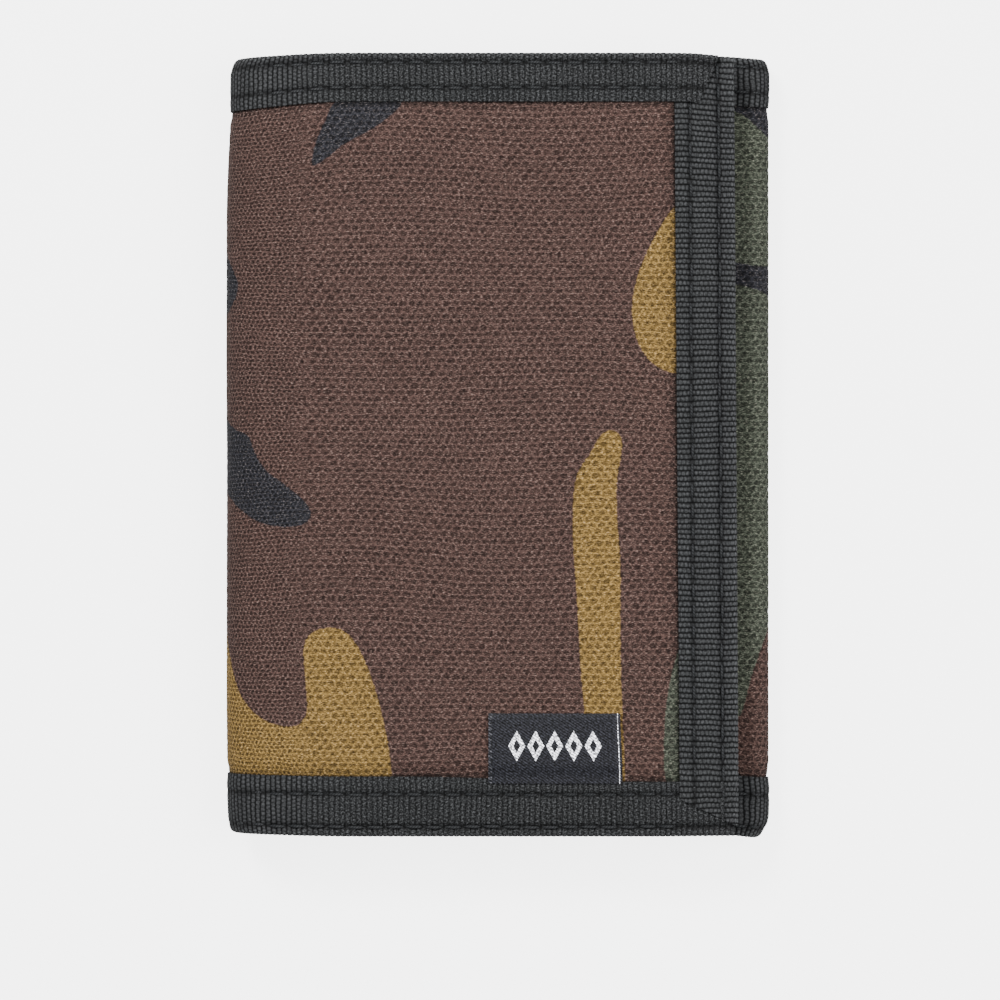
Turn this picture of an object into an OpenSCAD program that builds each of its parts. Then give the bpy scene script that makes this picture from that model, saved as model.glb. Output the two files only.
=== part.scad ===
// Trifold wallet, closed and lying on its back.
// X runs from the left fold to the right fold, Y up along the folds, Z out of the front flap.
// Every layer of a panel is placed by its depth below that panel's outer canvas face.

/* [Wallet] */
// Height of the closed wallet, along its folds
height = 120; // [112:1:130]
// Width of the closed wallet, from fold to fold
width = 83.5; // [83:0.5:90]
// Thickness of the closed wallet, canvas to canvas
thickness = 13; // [13:0.1:15]
// Height of the tuck flap's canvas face over the back's canvas face
tuck_height = 5.8; // [5.8:0.1:6.2]
// Distance of the front flap's free edge from the right fold
flap_step = 5; // [3:0.5:7]
// Length of the tuck flap, from the right fold to its free edge
tuck_length = 47; // [42:0.5:47]

/* [Cloth and tape] */
// Thickness of the canvas
canvas_t = 0.7; // [0.6:0.05:0.8]
// Thickness of the lining and of each pocket
lining_t = 0.4; // [0.3:0.05:0.4]
// Thickness of one leg of the folded binding tape
tape_t = 0.35; // [0.3:0.05:0.35]
// Width of the binding along the top edges
top_tape_w = 7.5; // [6:0.5:9]
// Width of the binding along the bottom edges
bottom_tape_w = 9.2; // [7:0.1:10]
// Width of the binding down a free edge
edge_tape_w = 9.2; // [7:0.1:10]
// How far the thread stands over the tape
thread_t = 0.1; // [0.05:0.05:0.1]
// Length of one stitch
stitch_l = 2.6; // [2:0.1:3]
// Distance from one stitch to the next
stitch_pitch = 3.2; // [3:0.1:4]

/* [Pockets] */
// Width of the card pockets, outside their seams
card_pocket_w = 62; // [60:1:64]
// Height of the top edge of the highest card pocket over the wallet's middle
card_pocket_top = 30; // [24:1:36]
// Step from one card pocket's top edge to the next
card_pocket_step = 12; // [8:1:14]
// Width of the border round the photo window
window_border = 4; // [3:0.5:6]
// Height of the photo window's pocket
window_h = 88; // [70:1:92]

/* [Fastening] */
// Width of the hook patch
hook_w = 14; // [10:1:16]
// Height of the hook patch
hook_h = 80; // [50:1:90]
// Thickness of the hook patch
hook_t = 0.9; // [0.8:0.1:1]
// Thickness of the loop patch
loop_t = 1; // [0.9:0.1:1.1]
// Margin of the loop patch round the hook patch
loop_margin = 2; // [1:0.5:3]
// Clearance between hook and loop
patch_gap = 0.2; // [0.2:0.05:0.3]

/* [Coin pocket and zip] */
// Width of the coin pocket
coin_w = 60.5; // [58:0.5:61]
// Height of the coin pocket
coin_h = 100; // [96:1:100]
// Distance of the coin pocket from the left fold
coin_x = 8; // [8:0.5:9]
// Distance of the zip from the left fold
zip_x = 16; // [15:0.5:17]
// Length of the zip's tapes
zip_l = 92; // [88:1:92]
// Length of the slider
slider_l = 8; // [7:0.5:9]
// Length of the puller
puller_l = 14; // [10:0.5:15]

/* [Label] */
// Width of the woven label
label_w = 20.2; // [14:0.1:24]
// How far the label stands out of the bottom binding
label_h = 9.6; // [6:0.1:14]
// Thickness of the folded label
label_t = 0.35; // [0.3:0.05:0.5]

/* [Hidden] */
$fn = 64;

// The four colours of the cloth, and of thread, metal and film
canvas_colour = "#635048";
tape_colour = "#393a3c";
lining_colour = "#2b2c2f";
thread_colour = "#45474a";
metal_colour = "#8b8d90";

// A panel is [height of its outer canvas face, side that face looks to]
BACK = [0, -1];
TUCK = [tuck_height, 1];
FRONT = [thickness, 1];

// Depths below a panel's outer face
tape_out = thread_t;
rim_out = tape_out + tape_t;
back_lining_d = 1.4;
front_lining_d = 2;

// Edges shared by the panels
top_y = height / 2;
bottom_y = -height / 2;
top_seam_y = top_y - top_tape_w;
bottom_seam_y = bottom_y + bottom_tape_w;
lining_top_y = top_y - 3;
hem_w = 3.5;
left_fold_r = thickness / 2;
right_fold_r = tuck_height / 2;
right_fold_x = width - right_fold_r;
flap_edge_x = width - flap_step;
tuck_edge_x = width - tuck_length;

// Stitch rows: distances from the edge and from the tape's inner side
outer_row = 1.4;
inner_row = 2.4;
edge_outer_row = 2.5;
stitch_w = 0.45;

// Heights of the parts between the tuck flap and the front flap
hook_z = tuck_height + loop_t + patch_gap;
coin_z = hook_z + hook_t;
coin_back_z = thickness - front_lining_d - lining_t;
hook_x = flap_edge_x - edge_tape_w - hook_w - 3.5;
gusset_t = 0.6;

// Zip: half widths across it and heights through it
coil_half_w = 1.3;
coil_t = 1;
coil_pitch = 1.4;
zip_slot_half_w = 3.2;
zip_tape_half_gap = 0.6;
zip_tape_w = 5.4;
zip_tape_t = 0.3;
zip_tape_z = coin_z + lining_t;
coil_z = zip_tape_z - coil_t;
slider_half_w = 3;
slider_plate_t = 0.5;
slider_clear = 0.1;
slider_face_z = coil_z - 0.7;
slider_y = 31;
wedge_l = 1.6;
wedge_half_w = 0.5;
coil_bottom_y = -42;
coil_top_y = slider_y + slider_l - wedge_l - 0.9;
pin_r = 0.4;
pin_clear = 0.05;
eye_r = 0.8;
eye_half_w = 0.45;
lug_t = 0.6;
pin_y = slider_y + slider_l - 2.5;
pin_z = slider_face_z - 0.9;
puller_t = 0.6;
puller_half_w = 2.1;

// A range of heights, given as depths a and b below a panel's outer face
function depth(panel, a, b) =
    panel[1] > 0 ? [panel[0] - b, panel[0] - a] : [panel[0] + a, panel[0] + b];

// The two values in rising order
function span(a, b) = [min(a, b), max(a, b)];

// A flat plate over ranges of x, y and z, with x counted from the left fold
module plate(x, y, z)
    translate([x[0] - width / 2, y[0], z[0]])
        cube([x[1] - x[0], y[1] - y[0], z[1] - z[0]]);

// Canvas of a panel, pressed in where the binding lies on it; free_edge is -1, 0 or 1
module panel_canvas(panel, x, free_edge) {
    seam = edge_tape_w;
    face_x = [x[0] + (free_edge < 0 ? seam : 0), x[1] - (free_edge > 0 ? seam : 0)];
    rim_x = [x[0] + (free_edge < 0 ? tape_t : 0), x[1] - (free_edge > 0 ? tape_t : 0)];
    plate(face_x, [bottom_seam_y, top_seam_y], depth(panel, 0, canvas_t));
    plate(rim_x, [bottom_y + tape_t, top_y - tape_t], depth(panel, rim_out, canvas_t));
}

// Lining of a panel at depth d, up to the mouth of the note compartment
module panel_lining(panel, x, d)
    plate(x, [bottom_y + tape_t, lining_top_y], depth(panel, d, d + lining_t));

// Binding folded over an edge along x: an outer leg, an inner leg at depth inner, and the turn
module folded_tape(panel, x, seam_y, edge_y, inner) {
    turn_y = edge_y - sign(edge_y) * tape_t;
    plate(x, span(seam_y, edge_y), depth(panel, tape_out, rim_out));
    plate(x, span(seam_y, edge_y), depth(panel, inner, inner + tape_t));
    plate(x, span(turn_y, edge_y), depth(panel, tape_out, inner + tape_t));
}

// The same binding down a free edge along y
module folded_edge_tape(panel, seam_x, edge_x, inner) {
    y = [bottom_seam_y, top_seam_y];
    turn_x = edge_x + sign(seam_x - edge_x) * tape_t;
    plate(span(seam_x, edge_x), y, depth(panel, tape_out, rim_out));
    plate(span(seam_x, edge_x), y, depth(panel, inner, inner + tape_t));
    plate(span(turn_x, edge_x), y, depth(panel, tape_out, inner + tape_t));
}

// Hem tape over the top edge of a lining that lies at depth d
module lining_hem(panel, x, d) {
    y = [lining_top_y - hem_w, lining_top_y];
    plate(x, y, depth(panel, d - tape_t, d));
    plate(x, y, depth(panel, d + lining_t, d + lining_t + tape_t));
}

// Cloth bent half round a fold, between two circles given as [centre z, radius]
module fold_ring(side, outer, inner, y) {
    centre_x = side < 0 ? left_fold_r : right_fold_x;
    reach = 2 * outer[1];
    translate([centre_x - width / 2, y[1], 0])
        rotate([90, 0, 0])
            linear_extrude(y[1] - y[0])
                intersection() {
                    difference() {
                        translate([0, outer[0]]) circle(outer[1]);
                        translate([0, inner[0]]) circle(inner[1]);
                    }
                    translate([side < 0 ? -reach : 0, outer[0] - reach])
                        square([reach, 2 * reach]);
                }
}

// Middle height and outer radius of the canvas and of the lining at a fold
function fold_canvas(side) =
    side < 0 ? [left_fold_r, left_fold_r] : [right_fold_r, right_fold_r];
function fold_lining(side) =
    let (low = back_lining_d)
    let (high = side < 0 ? thickness - front_lining_d : tuck_height - back_lining_d)
    [(low + high) / 2, (high - low) / 2];
function inset(ring, d) = [ring[0], ring[1] - d];

module fold_canvas_piece(side) {
    ring = fold_canvas(side);
    fold_ring(side, ring, inset(ring, canvas_t), [bottom_seam_y, top_seam_y]);
    fold_ring(side, inset(ring, rim_out), inset(ring, canvas_t),
              [bottom_y + tape_t, top_y - tape_t]);
}

module fold_lining_piece(side)
    fold_ring(side, fold_lining(side), inset(fold_lining(side), lining_t),
              [bottom_y + tape_t, lining_top_y]);

module fold_lining_hem(side) {
    ring = fold_lining(side);
    y = [lining_top_y - hem_w, lining_top_y];
    fold_ring(side, inset(ring, -tape_t), ring, y);
    fold_ring(side, inset(ring, lining_t), inset(ring, lining_t + tape_t), y);
}

module fold_top_binding(side) {
    ring = fold_canvas(side);
    y = [top_seam_y, top_y];
    fold_ring(side, inset(ring, tape_out), inset(ring, rim_out), y);
    fold_ring(side, inset(ring, canvas_t), inset(ring, canvas_t + tape_t), y);
    fold_ring(side, inset(ring, tape_out), inset(ring, canvas_t + tape_t), [top_y - tape_t, top_y]);
}

module fold_bottom_binding(side) {
    ring = fold_canvas(side);
    lining = inset(fold_lining(side), lining_t);
    y = [bottom_y, bottom_seam_y];
    fold_ring(side, inset(ring, tape_out), inset(ring, rim_out), y);
    fold_ring(side, lining, inset(lining, tape_t), y);
    fold_ring(side, inset(ring, tape_out), inset(lining, tape_t), [bottom_y, bottom_y + tape_t]);
}

// A row of stitches along x at height y, lying on z
module stitches_along_x(x, y, z)
    for (at = [x[0] + 1 : stitch_pitch : x[1] - stitch_l])
        plate([at, at + stitch_l], [y - stitch_w / 2, y + stitch_w / 2], z);

// A row of stitches along y
module stitches_along_y(x, y, z)
    for (at = [y[0] + 1 : stitch_pitch : y[1] - stitch_l])
        plate([x - stitch_w / 2, x + stitch_w / 2], [at, at + stitch_l], z);

// Both rows on the top and on the bottom binding of a panel
module binding_stitches(panel, x) {
    z = depth(panel, 0, tape_out);
    for (y = [top_y - outer_row, top_seam_y + inner_row,
              bottom_y + outer_row, bottom_seam_y - inner_row])
        stitches_along_x(x, y, z);
}

// Both rows on a free edge's binding
module edge_stitches(panel, seam_x, edge_x) {
    z = depth(panel, 0, tape_out);
    out = sign(edge_x - seam_x);
    for (x = [edge_x - out * edge_outer_row, seam_x + out * inner_row])
        stitches_along_y(x, [bottom_seam_y, top_seam_y], z);
}

// ---- back panel ----

back_x = [left_fold_r, right_fold_x];

module back_canvas() color(canvas_colour) panel_canvas(BACK, back_x, 0);

module back_lining() color(lining_colour) panel_lining(BACK, back_x, back_lining_d);

module back_lining_hem() color(tape_colour) lining_hem(BACK, back_x, back_lining_d);

module back_top_binding() color(tape_colour)
    folded_tape(BACK, back_x, top_seam_y, top_y, canvas_t);

module back_bottom_binding() color(tape_colour)
    folded_tape(BACK, back_x, bottom_seam_y, bottom_y, back_lining_d + lining_t);

module back_stitching() color(thread_colour) binding_stitches(BACK, back_x);

// Card pockets lie on the back's lining, the lowest one outermost
card_pocket_x0 = (left_fold_r + right_fold_x - card_pocket_w) / 2;
card_pocket_x = [card_pocket_x0, card_pocket_x0 + card_pocket_w];
card_pocket_z = back_lining_d + lining_t;

// Pocket of the given rank, 0 for the highest
module card_pocket(rank) color(lining_colour)
    plate(card_pocket_x, [bottom_seam_y, card_pocket_top - rank * card_pocket_step],
          [card_pocket_z + rank * lining_t, card_pocket_z + (rank + 1) * lining_t]);

module card_pocket_high() card_pocket(0);
module card_pocket_middle() card_pocket(1);
module card_pocket_low() card_pocket(2);

module card_pocket_stitching() color(thread_colour) {
    low_top = card_pocket_top - 2 * card_pocket_step;
    z = card_pocket_z + 3 * lining_t;
    for (x = [card_pocket_x[0] + outer_row, card_pocket_x[1] - outer_row])
        stitches_along_y(x, [bottom_seam_y, low_top], [z, z + thread_t]);
}

// ---- left fold ----

module left_fold_canvas() color(canvas_colour) fold_canvas_piece(-1);
module left_fold_lining() color(lining_colour) fold_lining_piece(-1);
module left_fold_lining_hem() color(tape_colour) fold_lining_hem(-1);
module left_fold_top_binding() color(tape_colour) fold_top_binding(-1);
module left_fold_bottom_binding() color(tape_colour) fold_bottom_binding(-1);

// ---- front flap ----

front_x = [left_fold_r, flap_edge_x];
front_seam_x = flap_edge_x - edge_tape_w;

module front_canvas() color(canvas_colour) panel_canvas(FRONT, front_x, 1);

module front_lining() color(lining_colour)
    panel_lining(FRONT, [front_x[0], flap_edge_x - tape_t], front_lining_d);

module front_lining_hem() color(tape_colour)
    lining_hem(FRONT, [front_x[0], front_seam_x], front_lining_d);

module front_top_binding() color(tape_colour)
    folded_tape(FRONT, front_x, top_seam_y, top_y, canvas_t);

module front_bottom_binding() color(tape_colour)
    folded_tape(FRONT, front_x, bottom_seam_y, bottom_y, front_lining_d + lining_t);

module front_edge_binding() color(tape_colour)
    folded_edge_tape(FRONT, front_seam_x, flap_edge_x, front_lining_d + lining_t);

module front_stitching() color(thread_colour) {
    binding_stitches(FRONT, front_x);
    edge_stitches(FRONT, front_seam_x, flap_edge_x);
}

module woven_label() color("#26272d") {
    label_x0 = width / 2 - 1.4;
    plate([label_x0, label_x0 + label_w], [bottom_seam_y, bottom_seam_y + label_h],
          [thickness, thickness + label_t]);
}

module hook_patch() color("#222325")
    plate([hook_x, hook_x + hook_w], [-hook_h / 2, hook_h / 2], [hook_z, hook_z + hook_t]);

// ---- coin pocket, on the inner side of the front flap ----

coin_panel_z = [coin_z, coin_z + lining_t];
coin_right_x = coin_x + coin_w;
coin_y = [-coin_h / 2, coin_h / 2];
zip_y = [-zip_l / 2, zip_l / 2];

module coin_pocket_panel() color(lining_colour)
    plate([zip_x + zip_slot_half_w, coin_right_x], coin_y, coin_panel_z);

module coin_pocket_fold_strip() color(lining_colour)
    plate([coin_x, zip_x - zip_slot_half_w], coin_y, coin_panel_z);

// Side walls that join the pocket's panel to the lining
module coin_pocket_gusset() color(lining_colour)
    difference() {
        plate([coin_x, coin_right_x], coin_y, [coin_panel_z[1], coin_back_z]);
        plate([coin_x + gusset_t, coin_right_x - gusset_t],
              [coin_y[0] + gusset_t, coin_y[1] - gusset_t],
              [coin_panel_z[1] - 1, coin_back_z + 1]);
    }

module coin_pocket_stitching() color(thread_colour) {
    z = [coin_z - thread_t, coin_z];
    for (x = [zip_x - zip_slot_half_w - 0.9, zip_x + zip_slot_half_w + 0.9,
              coin_right_x - outer_row])
        stitches_along_y(x, coin_y, z);
}

module zip_tape(side) color(tape_colour) {
    near = zip_x + side * zip_tape_half_gap;
    plate(span(near, near + side * zip_tape_w), zip_y, [zip_tape_z, zip_tape_z + zip_tape_t]);
}

module zip_tape_fold_side() zip_tape(-1);
module zip_tape_flap_side() zip_tape(1);

// Closed coil: a core with a tooth at every pitch
module zip_coil() color("#1b1c1e") {
    tooth_l = 0.9;
    core_half_w = 0.5;
    plate([zip_x - core_half_w, zip_x + core_half_w], [coil_bottom_y, coil_top_y],
          [coil_z + 0.3, zip_tape_z]);
    for (y = [coil_bottom_y : coil_pitch : coil_top_y - tooth_l])
        plate([zip_x - coil_half_w, zip_x + coil_half_w], [y, y + tooth_l], [coil_z, zip_tape_z]);
}

// Cloth tabs over the two ends of the zip
module zip_end_tabs() color(tape_colour)
    for (y = [[coin_y[0], zip_y[0]], [zip_y[1], coin_y[1]]])
        plate([zip_x - zip_slot_half_w, zip_x + zip_slot_half_w], y, coin_panel_z);

module zip_top_stops() color(metal_colour)
    for (side = [-1, 1]) {
        near = zip_x + side * 0.7;
        plate(span(near, near + side * 1.2), [slider_y + slider_l + 1, slider_y + slider_l + 2.6],
              [coil_z + 0.2, zip_tape_z]);
    }

module zip_bottom_stop() color(metal_colour)
    plate([zip_x - 1.6, zip_x + 1.6], [coil_bottom_y - 2, coil_bottom_y], [coil_z, zip_tape_z]);

// ---- zip slider and puller ----

// Cylinder along x, centred on the puller's pin
module across_pin(r, half_w)
    translate([zip_x - half_w - width / 2, pin_y, pin_z])
        rotate([0, 90, 0])
            cylinder(r = r, h = 2 * half_w);

module zip_slider() color(metal_colour) {
    x = [zip_x - slider_half_w, zip_x + slider_half_w];
    y = [slider_y, slider_y + slider_l];
    wall_z = [slider_face_z, zip_tape_z - slider_clear];
    inner_z0 = zip_tape_z + zip_tape_t + slider_clear;
    channel_half_w = coil_half_w + 0.2;
    plate(x, y, [slider_face_z, slider_face_z + slider_plate_t]);
    plate([x[0], zip_x - channel_half_w], y, wall_z);
    plate([zip_x + channel_half_w, x[1]], y, wall_z);
    plate(x, y, [inner_z0, inner_z0 + slider_plate_t]);
    plate([zip_x - wedge_half_w, zip_x + wedge_half_w], [y[1] - wedge_l, y[1]],
          [slider_face_z, inner_z0 + slider_plate_t]);
    for (side = [-1, 1]) {
        near = zip_x + side * (eye_half_w + slider_clear);
        lug_x = span(near, near + side * lug_t);
        plate(lug_x, [pin_y - eye_r, pin_y + eye_r], [pin_z, slider_face_z]);
        intersection() {
            across_pin(eye_r, slider_half_w);
            plate(lug_x, [pin_y - eye_r, pin_y + eye_r], [pin_z - eye_r, pin_z + eye_r]);
        }
    }
    across_pin(pin_r, eye_half_w + slider_clear + lug_t);
}

// Flat puller with an eye on the slider's pin and a slot near its end
module zip_puller() color(metal_colour)
    difference() {
        z = [pin_z - puller_t / 2, pin_z + puller_t / 2];
        shoulder_y = pin_y - 1.4;
        end_y = pin_y - puller_l;
        union() {
            across_pin(eye_r, eye_half_w);
            plate([zip_x - eye_half_w, zip_x + eye_half_w], [shoulder_y, pin_y], z);
            plate([zip_x - puller_half_w, zip_x + puller_half_w],
                  [end_y + puller_half_w, shoulder_y], z);
            translate([zip_x - width / 2, end_y + puller_half_w, z[0]])
                cylinder(r = puller_half_w, h = puller_t);
        }
        across_pin(pin_r + pin_clear, slider_half_w);
        plate([zip_x - 1.1, zip_x + 1.1], [end_y + 1.6, end_y + 4.2], [z[0] - 1, z[1] + 1]);
    }

// ---- right fold ----

module right_fold_canvas() color(canvas_colour) fold_canvas_piece(1);
module right_fold_lining() color(lining_colour) fold_lining_piece(1);
module right_fold_lining_hem() color(tape_colour) fold_lining_hem(1);
module right_fold_top_binding() color(tape_colour) fold_top_binding(1);
module right_fold_bottom_binding() color(tape_colour) fold_bottom_binding(1);

// ---- tuck flap ----

tuck_x = [tuck_edge_x, right_fold_x];
tuck_seam_x = tuck_edge_x + edge_tape_w;
tuck_inner_d = back_lining_d + lining_t;

module tuck_canvas() color(canvas_colour) panel_canvas(TUCK, tuck_x, -1);

module tuck_lining() color(lining_colour)
    panel_lining(TUCK, [tuck_edge_x + tape_t, tuck_x[1]], back_lining_d);

module tuck_lining_hem() color(tape_colour)
    lining_hem(TUCK, [tuck_seam_x, tuck_x[1]], back_lining_d);

module tuck_top_binding() color(tape_colour)
    folded_tape(TUCK, tuck_x, top_seam_y, top_y, canvas_t);

module tuck_bottom_binding() color(tape_colour)
    folded_tape(TUCK, tuck_x, bottom_seam_y, bottom_y, tuck_inner_d);

module tuck_edge_binding() color(tape_colour)
    folded_edge_tape(TUCK, tuck_seam_x, tuck_edge_x, tuck_inner_d);

module tuck_stitching() color(thread_colour) {
    binding_stitches(TUCK, tuck_x);
    edge_stitches(TUCK, tuck_seam_x, tuck_edge_x);
}

module loop_patch() color("#2a2b2e")
    plate([hook_x - loop_margin, hook_x + hook_w + loop_margin],
          [-hook_h / 2 - loop_margin, hook_h / 2 + loop_margin],
          [tuck_height, tuck_height + loop_t]);

// Photo window: a border of tape with clear film inside it
window_x = [tuck_seam_x, right_fold_x - 1.6];
window_y = [bottom_seam_y + 2, bottom_seam_y + 2 + window_h];
window_opening_x = [window_x[0] + window_border, window_x[1] - window_border];
window_opening_y = [window_y[0] + window_border, window_y[1] - window_border];
window_t = 0.6;
film_t = 0.2;

module photo_window_frame() color(tape_colour)
    difference() {
        z = depth(TUCK, tuck_inner_d, tuck_inner_d + window_t);
        plate(window_x, window_y, z);
        plate(window_opening_x, window_opening_y, [z[0] - 1, z[1] + 1]);
    }

module photo_window_film() color("#c9d2d6", 0.4)
    plate(window_opening_x, window_opening_y,
          depth(TUCK, tuck_inner_d + film_t, tuck_inner_d + 2 * film_t));

back_canvas();
back_lining();
back_lining_hem();
back_top_binding();
back_bottom_binding();
back_stitching();
card_pocket_high();
card_pocket_middle();
card_pocket_low();
card_pocket_stitching();
left_fold_canvas();
left_fold_lining();
left_fold_lining_hem();
left_fold_top_binding();
left_fold_bottom_binding();
front_canvas();
front_lining();
front_lining_hem();
front_top_binding();
front_bottom_binding();
front_edge_binding();
front_stitching();
woven_label();
hook_patch();
coin_pocket_panel();
coin_pocket_fold_strip();
coin_pocket_gusset();
coin_pocket_stitching();
zip_tape_fold_side();
zip_tape_flap_side();
zip_coil();
zip_end_tabs();
zip_top_stops();
zip_bottom_stop();
zip_slider();
zip_puller();
right_fold_canvas();
right_fold_lining();
right_fold_lining_hem();
right_fold_top_binding();
right_fold_bottom_binding();
tuck_canvas();
tuck_lining();
tuck_lining_hem();
tuck_top_binding();
tuck_bottom_binding();
tuck_edge_binding();
tuck_stitching();
loop_patch();
photo_window_frame();
photo_window_film();
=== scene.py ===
"""Looks of the trifold wallet: canvas shell, webbing binding, linings, pockets, zip and patches.

The cloth is worked out in strip coordinates. q runs along the shell from the front flap's free edge
(largest q) round the left fold, across the back, round the right fold and along the tuck flap; y runs up;
depth runs from the shell's outer face inward. place() turns them into the closed wallet's x, y, z. Lengths
are millimetres until a mesh is made.
"""

import math
from collections import namedtuple

import bpy
import numpy as np
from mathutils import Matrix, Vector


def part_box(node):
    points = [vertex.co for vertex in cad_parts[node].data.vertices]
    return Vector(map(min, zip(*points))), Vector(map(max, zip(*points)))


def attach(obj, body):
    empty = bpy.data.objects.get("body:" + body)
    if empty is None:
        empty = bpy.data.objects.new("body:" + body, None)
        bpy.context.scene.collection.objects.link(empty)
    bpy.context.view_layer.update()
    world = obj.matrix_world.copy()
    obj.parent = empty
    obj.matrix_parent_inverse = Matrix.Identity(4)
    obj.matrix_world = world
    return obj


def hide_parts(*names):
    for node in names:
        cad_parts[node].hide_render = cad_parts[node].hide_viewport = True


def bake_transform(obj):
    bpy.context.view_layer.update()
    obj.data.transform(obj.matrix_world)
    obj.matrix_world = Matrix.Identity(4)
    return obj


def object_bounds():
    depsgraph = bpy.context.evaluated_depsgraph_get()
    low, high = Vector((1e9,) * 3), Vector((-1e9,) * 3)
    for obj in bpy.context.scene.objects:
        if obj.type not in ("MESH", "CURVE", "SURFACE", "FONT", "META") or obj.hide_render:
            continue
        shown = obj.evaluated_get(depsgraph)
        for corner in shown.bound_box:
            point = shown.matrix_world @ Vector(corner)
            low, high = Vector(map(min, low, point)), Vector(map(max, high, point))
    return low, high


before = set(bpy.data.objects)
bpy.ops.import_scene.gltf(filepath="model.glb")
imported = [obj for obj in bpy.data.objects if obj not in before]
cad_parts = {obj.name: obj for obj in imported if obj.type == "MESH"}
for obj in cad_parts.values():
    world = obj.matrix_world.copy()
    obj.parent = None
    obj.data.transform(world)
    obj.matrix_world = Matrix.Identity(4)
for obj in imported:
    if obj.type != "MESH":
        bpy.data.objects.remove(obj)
CAD_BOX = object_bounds()
MM = 0.001


# ---------------------------------------------------------------- sizes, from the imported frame

def cad_box(node):
    """Lowest and highest corner of a CAD node in millimetres."""
    low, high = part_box(node)
    return np.array(low) / MM, np.array(high) / MM


FRONT_LOW, FRONT_HIGH = cad_box("front_canvas")
TAPE_LOW, TAPE_HIGH = cad_box("back_top_binding")
EDGE_LOW, EDGE_HIGH = cad_box("front_edge_binding")
TUCK_EDGE_LOW, TUCK_EDGE_HIGH = cad_box("tuck_edge_binding")

LEFT_X = FRONT_LOW[0]
RIGHT_X = cad_box("back_canvas")[1][0]
FRONT_TOP = FRONT_HIGH[2]
TUCK_TOP = cad_box("tuck_canvas")[1][2]
LEFT_R = FRONT_TOP / 2
RIGHT_R = TUCK_TOP / 2
HALF_HEIGHT = TAPE_HIGH[1]
TOP_SEAM = TAPE_LOW[1]
BOTTOM_SEAM = cad_box("back_bottom_binding")[1][1]
EDGE_SEAM, FLAP_EDGE = EDGE_LOW[0], EDGE_HIGH[0]

# where the parts of the shell begin along the strip
LEFT_START = LEFT_X
BACK_START = LEFT_START - math.pi * LEFT_R
RIGHT_START = BACK_START - (RIGHT_X - LEFT_X)
TUCK_START = RIGHT_START - math.pi * RIGHT_R
TUCK_EDGE = TUCK_START - (RIGHT_X - TUCK_EDGE_LOW[0])
TUCK_SEAM = TUCK_START - (RIGHT_X - TUCK_EDGE_HIGH[0])

# thicknesses, then depths of the webbing's outer leg and of its inner leg: top, elsewhere, front flap
CANVAS, TAPE, LINING = 0.7, 0.35, 0.35
TAPE_FACE, TOP_TAPE_BACK, SHEET_BACK, FRONT_BACK = 0.1, 1.05, 2.15, 2.75
# depth of the line that each fold bends about, and how far canvas and lining reach in under the webbing
CANVAS_UNDER, LINING_UNDER = 1.4, 1.0
HEM_WIDTH = 3.6
LINING_FOOT, LINING_TOP = -52.0, 57.0
# sizes of a canvas weave cell, and of a rib and a bead of the webbing
CELL_X, CELL_Y = 1.42, 0.95
RIB, BEAD = 0.83, 0.65


def front_q(x):
    """Strip distance of the place x on the front flap."""
    return x


def back_q(x):
    """Strip distance of the place x on the back panel."""
    return BACK_START - (x - LEFT_X)


def tuck_q(x):
    """Strip distance of the place x on the tuck flap."""
    return TUCK_START - (RIGHT_X - x)


# ---------------------------------------------------------------- shape helpers

def ramp(value, start, end):
    """Smooth step: 0 at start, 1 at end, 3t^2 - 2t^3 between."""
    t = np.clip((value - start) / (end - start), 0, 1)
    return t * t * (3 - 2 * t)


def waves(a, b, size, seed):
    """Unevenness between about -1 and 1: the mean of five slanted sine waves some `size` long."""
    rng = np.random.default_rng(seed)
    total = 0.0
    for turn, phase, stretch in rng.uniform(0, 1, (5, 3)):
        run = (a * math.cos(6.283 * turn) + b * math.sin(6.283 * turn)) / (size * (0.6 + 0.8 * stretch))
        total = total + np.sin(6.283 * (run + phase))
    return total / 3


def soften(x, y, z):
    """The closed wallet's slackness, one move for every layer at a place.

    The top left corner sags, the right side's top sits lower and its bottom corner higher, and the left
    fold draws in towards its ends. The upper layers, in z, have a slight crown and droop along the free
    edge.
    """
    left, right = ramp(-x, 20, 41.75), ramp(x, 33, 41.75)
    top, bottom = ramp(y, 25, 60), ramp(-y, 25, 60)
    lift = ramp(z, 6.5, 10)
    corner = ramp(abs(y), 57.2, 60.4) ** 2
    low_right = right * (1 - lift)
    sag = (1.3 * ramp(y, 25, 52) - 0.6 * ramp(y, 53, 60)) * left**1.5
    lower_top = top * (0.45 * low_right + 0.4 * lift * ramp(x, 29, 36.5))
    y2 = y - sag - lower_top + bottom * (0.42 * left**1.5 - 0.36 - 0.6 * low_right)
    x2 = x - 0.3 * left + left**2 * (0.75 * top**2 + 0.2 * bottom**2 + (0.9 - 0.5 * bottom) * corner)
    x2 = x2 + 0.5 * low_right - right**2 * (0.8 * corner + 0.6 * ramp(-y, 55.5, 59.5) ** 2)
    crown = 0.5 * (1 - (y / 60) ** 4) + 0.22 * waves(x, y, 60, 3)
    droop = 2.0 * ramp(x, 23, 37) ** 1.3 + 0.5 * ramp(abs(y), 46, 60)
    return np.stack(np.broadcast_arrays(x2, y2, z + lift * (crown - droop)), -1)


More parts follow.
